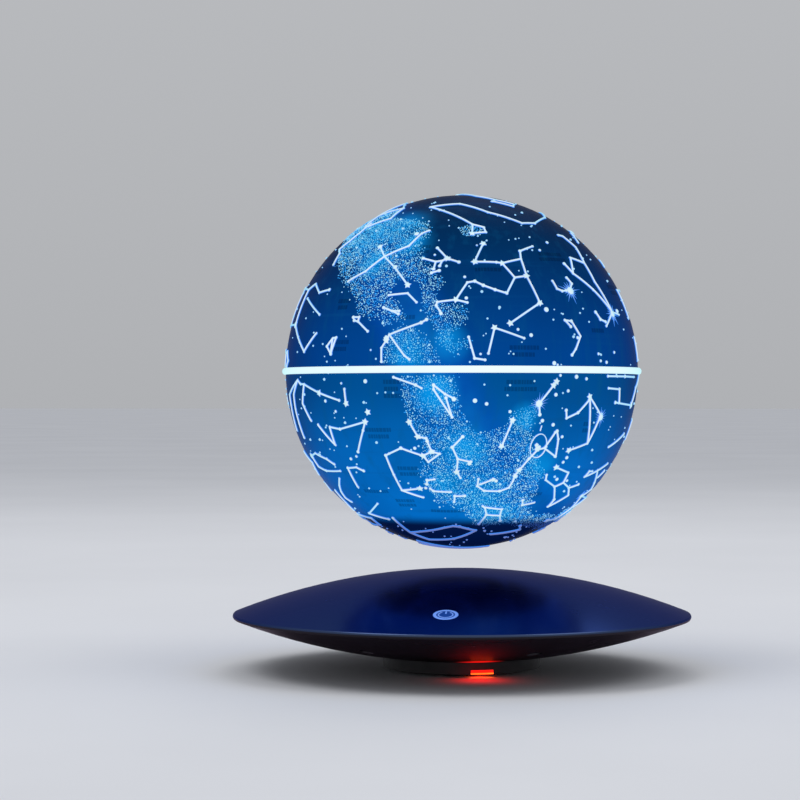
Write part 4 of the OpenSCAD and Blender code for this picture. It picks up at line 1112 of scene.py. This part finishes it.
def make_base():
    # The top cover's deep blue tint is a painted blue cast: it stands in for blue light falling on a black
    # cover
    paint(cover_material("cover_satin_black_painted_blue_cast", (0.28, 0.4, 0.74), 2.7, False), "top_cover")
    # The underside's glow is a painted red spill of the status light
    paint(cover_material("underside_black_painted_spill", (0.7, 0.62, 0.7), 1.45, True), "bottom_cover")
    paint(grained("foot_black", (0.007, 0.007, 0.01), (0.012, 0.012, 0.017), (0.45, 0.6), 1800),
          "foot_ring", "foot_plate")
    paint(grained("foot_rubber", grey(0.012), grey(0.03), (0.75, 0.9), 900, 0.3), "rubber_feet")
    steel = brushed("screw_steel", (0.35, 0.35, 0.37), (0.6, 0.6, 0.62), (0.25, 0.4), (900, 900, 200))
    places = ("foot_plate", "cover", "touch_board", "carrier", "main_board", "tray", "lamp_board")
    paint(steel, *[f"{place}_screws" for place in places])
    paint(glowing("icon_lens", (0.003, 0.006, 0.02), (0.006, 0.045, 0.3), 1.0, 0.3), "touch_lens")
    make_touch_mark()
    paint(status_material(), "status_window")
    paint(glowing("status_lamp", (0.3, 0.01, 0.005), (1.0, 0.012, 0.004), 3.5), "status_led")
    paint(glowing("led_package", (0.8, 0.85, 0.9), (0.6, 0.8, 1.0), 2.0),
          "touch_backlight_led", "lamp_leds")
    paint(grained("inlet_black", grey(0.012), grey(0.03), (0.3, 0.45), 1200), "dc_jack_housing")
    paint(brushed("contact_metal", (0.6, 0.55, 0.4), (0.85, 0.8, 0.65), (0.15, 0.3), (300, 60, 300)),
          "dc_jack_pin", "dc_jack_contacts", "touch_spring")
    paint(brushed("plate_steel", (0.4, 0.4, 0.42), (0.62, 0.62, 0.64), (0.3, 0.5), (40, 900, 900)),
          "carrier_plate")
    paint(grained("ring_ferrite", (0.03, 0.03, 0.032), (0.06, 0.06, 0.062), (0.5, 0.75), 1400, 0.4),
          "ring_magnet")
    paint(grained("choke_ferrite", (0.06, 0.06, 0.065), grey(0.1), (0.5, 0.7), 1400, 0.3), "choke_coil")
    board = grained("circuit_board", (0.004, 0.07, 0.03), (0.008, 0.11, 0.05), (0.3, 0.45), 500, 0.3, 300)
    paint(board, "main_board", "touch_sensor_board", "hall_sensor_board")
    copper, light_copper = (0.45, 0.14, 0.05), (0.8, 0.34, 0.14)
    paint(wound("copper_winding", copper, light_copper, 0.3 * MM), *spools("winding"))
    paint(wound("copper_spiral", copper, light_copper, 1.0 * MM), "transmitter_coil", "receiver_coil")
    paint(grained("enamel_lead", copper, light_copper, (0.25, 0.4), 600, 0.2, 200, 0.6),
          "coil_leads", "transmitter_lead")
    paint(brushed("core_iron", (0.25, 0.25, 0.27), (0.42, 0.42, 0.44), (0.35, 0.5), (500, 500, 50)),
          *spools("core"))
    nylon = grained("bobbin_nylon", (0.62, 0.58, 0.48), (0.72, 0.69, 0.6), (0.4, 0.55), 900, 0.1)
    paint(nylon, "transmitter_former", "lead_sockets", *spools("bobbin"))
    chips = grained("chip_epoxy", (0.015, 0.015, 0.016), grey(0.03), (0.45, 0.6), 2200, 0.25)
    paint(chips, "hall_sensor_post", "hall_sensors", "controller_chip", "coil_driver_chips",
          "rectifier_chips")
    paint(grained("capacitor_sleeve", (0.01, 0.012, 0.06), (0.02, 0.025, 0.1), (0.25, 0.35), 500),
          "smoothing_capacitors", "lamp_capacitor")
    paint(grained("lead_red", (0.35, 0.01, 0.01), (0.5, 0.03, 0.02), (0.4, 0.5), 700), "dc_lead")
    paint(grained("lead_white", grey(0.6), grey(0.75), (0.4, 0.5), 700), "touch_lead")
    paint(grained("tray_plastic", (0.03, 0.035, 0.06), (0.05, 0.06, 0.1), (0.4, 0.55), 900), "magnet_tray")
    paint(brushed("magnet_nickel", grey(0.6), grey(0.8), (0.1, 0.22), (60, 60, 60)), "levitation_magnet")
    paint(grained("lamp_board_white", (0.75, 0.77, 0.8), (0.85, 0.87, 0.9), (0.3, 0.4), 500), "lamp_board")


# ------------------------------------------------------------------ stage, light and camera


def make_stage():
    """A plain pale floor."""
    g = Graph("stage_paper", (0.7, 0.71, 0.73), 0.9, 0.0, 0.0)
    g.blotchy("Base Color", g.noise(3, 4.0), 0.3, 0.7, (0.69, 0.70, 0.73), (0.73, 0.74, 0.77))
    corners = [(x * FLOOR_HALF, y * FLOOR_HALF, 0) for x, y in ((-1, -1), (1, -1), (1, 1), (-1, 1))]
    made = mesh_object("floor", corners, [(0, 1, 2, 3)], g.material)


def soft_light(name, place, size, power, colour=(1, 1, 1)):
    data = bpy.data.lights.new(name, "AREA")
    data.shape, data.size, data.energy, data.color = "DISK", size, power, colour
    made = bpy.data.objects.new(name, data)
    made.location = place
    aim = GLOBE_C * 0.6 - Vector(place)
    made.rotation_euler = aim.to_track_quat("-Z", "Y").to_euler()
    bpy.context.scene.collection.objects.link(made)


def make_light():
    """Soft lamps, and a pale room that is brighter overhead than at eye level, where the floor meets it."""
    world = bpy.data.worlds.new("studio")
    world.use_nodes = True
    tree = world.node_tree
    place = tree.nodes.new("ShaderNodeTexCoord")
    split = tree.nodes.new("ShaderNodeSeparateXYZ")
    shade = tree.nodes.new("ShaderNodeMapRange")
    shade.inputs["To Min"].default_value = ROOM_LEVEL
    shade.inputs["To Max"].default_value = ROOM_LEVEL * 1.6
    tree.links.new(place.outputs["Generated"], split.inputs[0])
    tree.links.new(split.outputs["Z"], shade.inputs["Value"])
    back = tree.nodes["Background"]
    back.inputs["Color"].default_value = (0.94, 0.96, 1.0, 1)
    tree.links.new(shade.outputs["Result"], back.inputs["Strength"])
    bpy.context.scene.world = world
    soft_light("key", (-0.8, -0.5, 1.7), 1.1, 7.0)
    soft_light("fill", (1.1, -0.3, 1.5), 1.1, 4.0)
    soft_light("rim", (0.1, 1.1, 1.5), 1.0, 4.0)


def make_camera():
    data = bpy.data.cameras.new("camera")
    data.sensor_width, data.lens = 36.0, CAMERA_LENS
    made = bpy.data.objects.new("camera", data)
    place = Vector((math.sin(CAMERA_TURN), -math.cos(CAMERA_TURN), 0)) * CAMERA_DISTANCE
    made.location = place + Vector((0, 0, CAMERA_HEIGHT))
    made.rotation_euler = (math.pi / 2, 0, CAMERA_TURN + CAMERA_YAW)
    bpy.context.scene.collection.objects.link(made)
    bpy.context.scene.camera = made
    bpy.context.scene.view_settings.view_transform = "Standard"


make_camera()
make_light()
make_stage()
make_base()
make_globe()
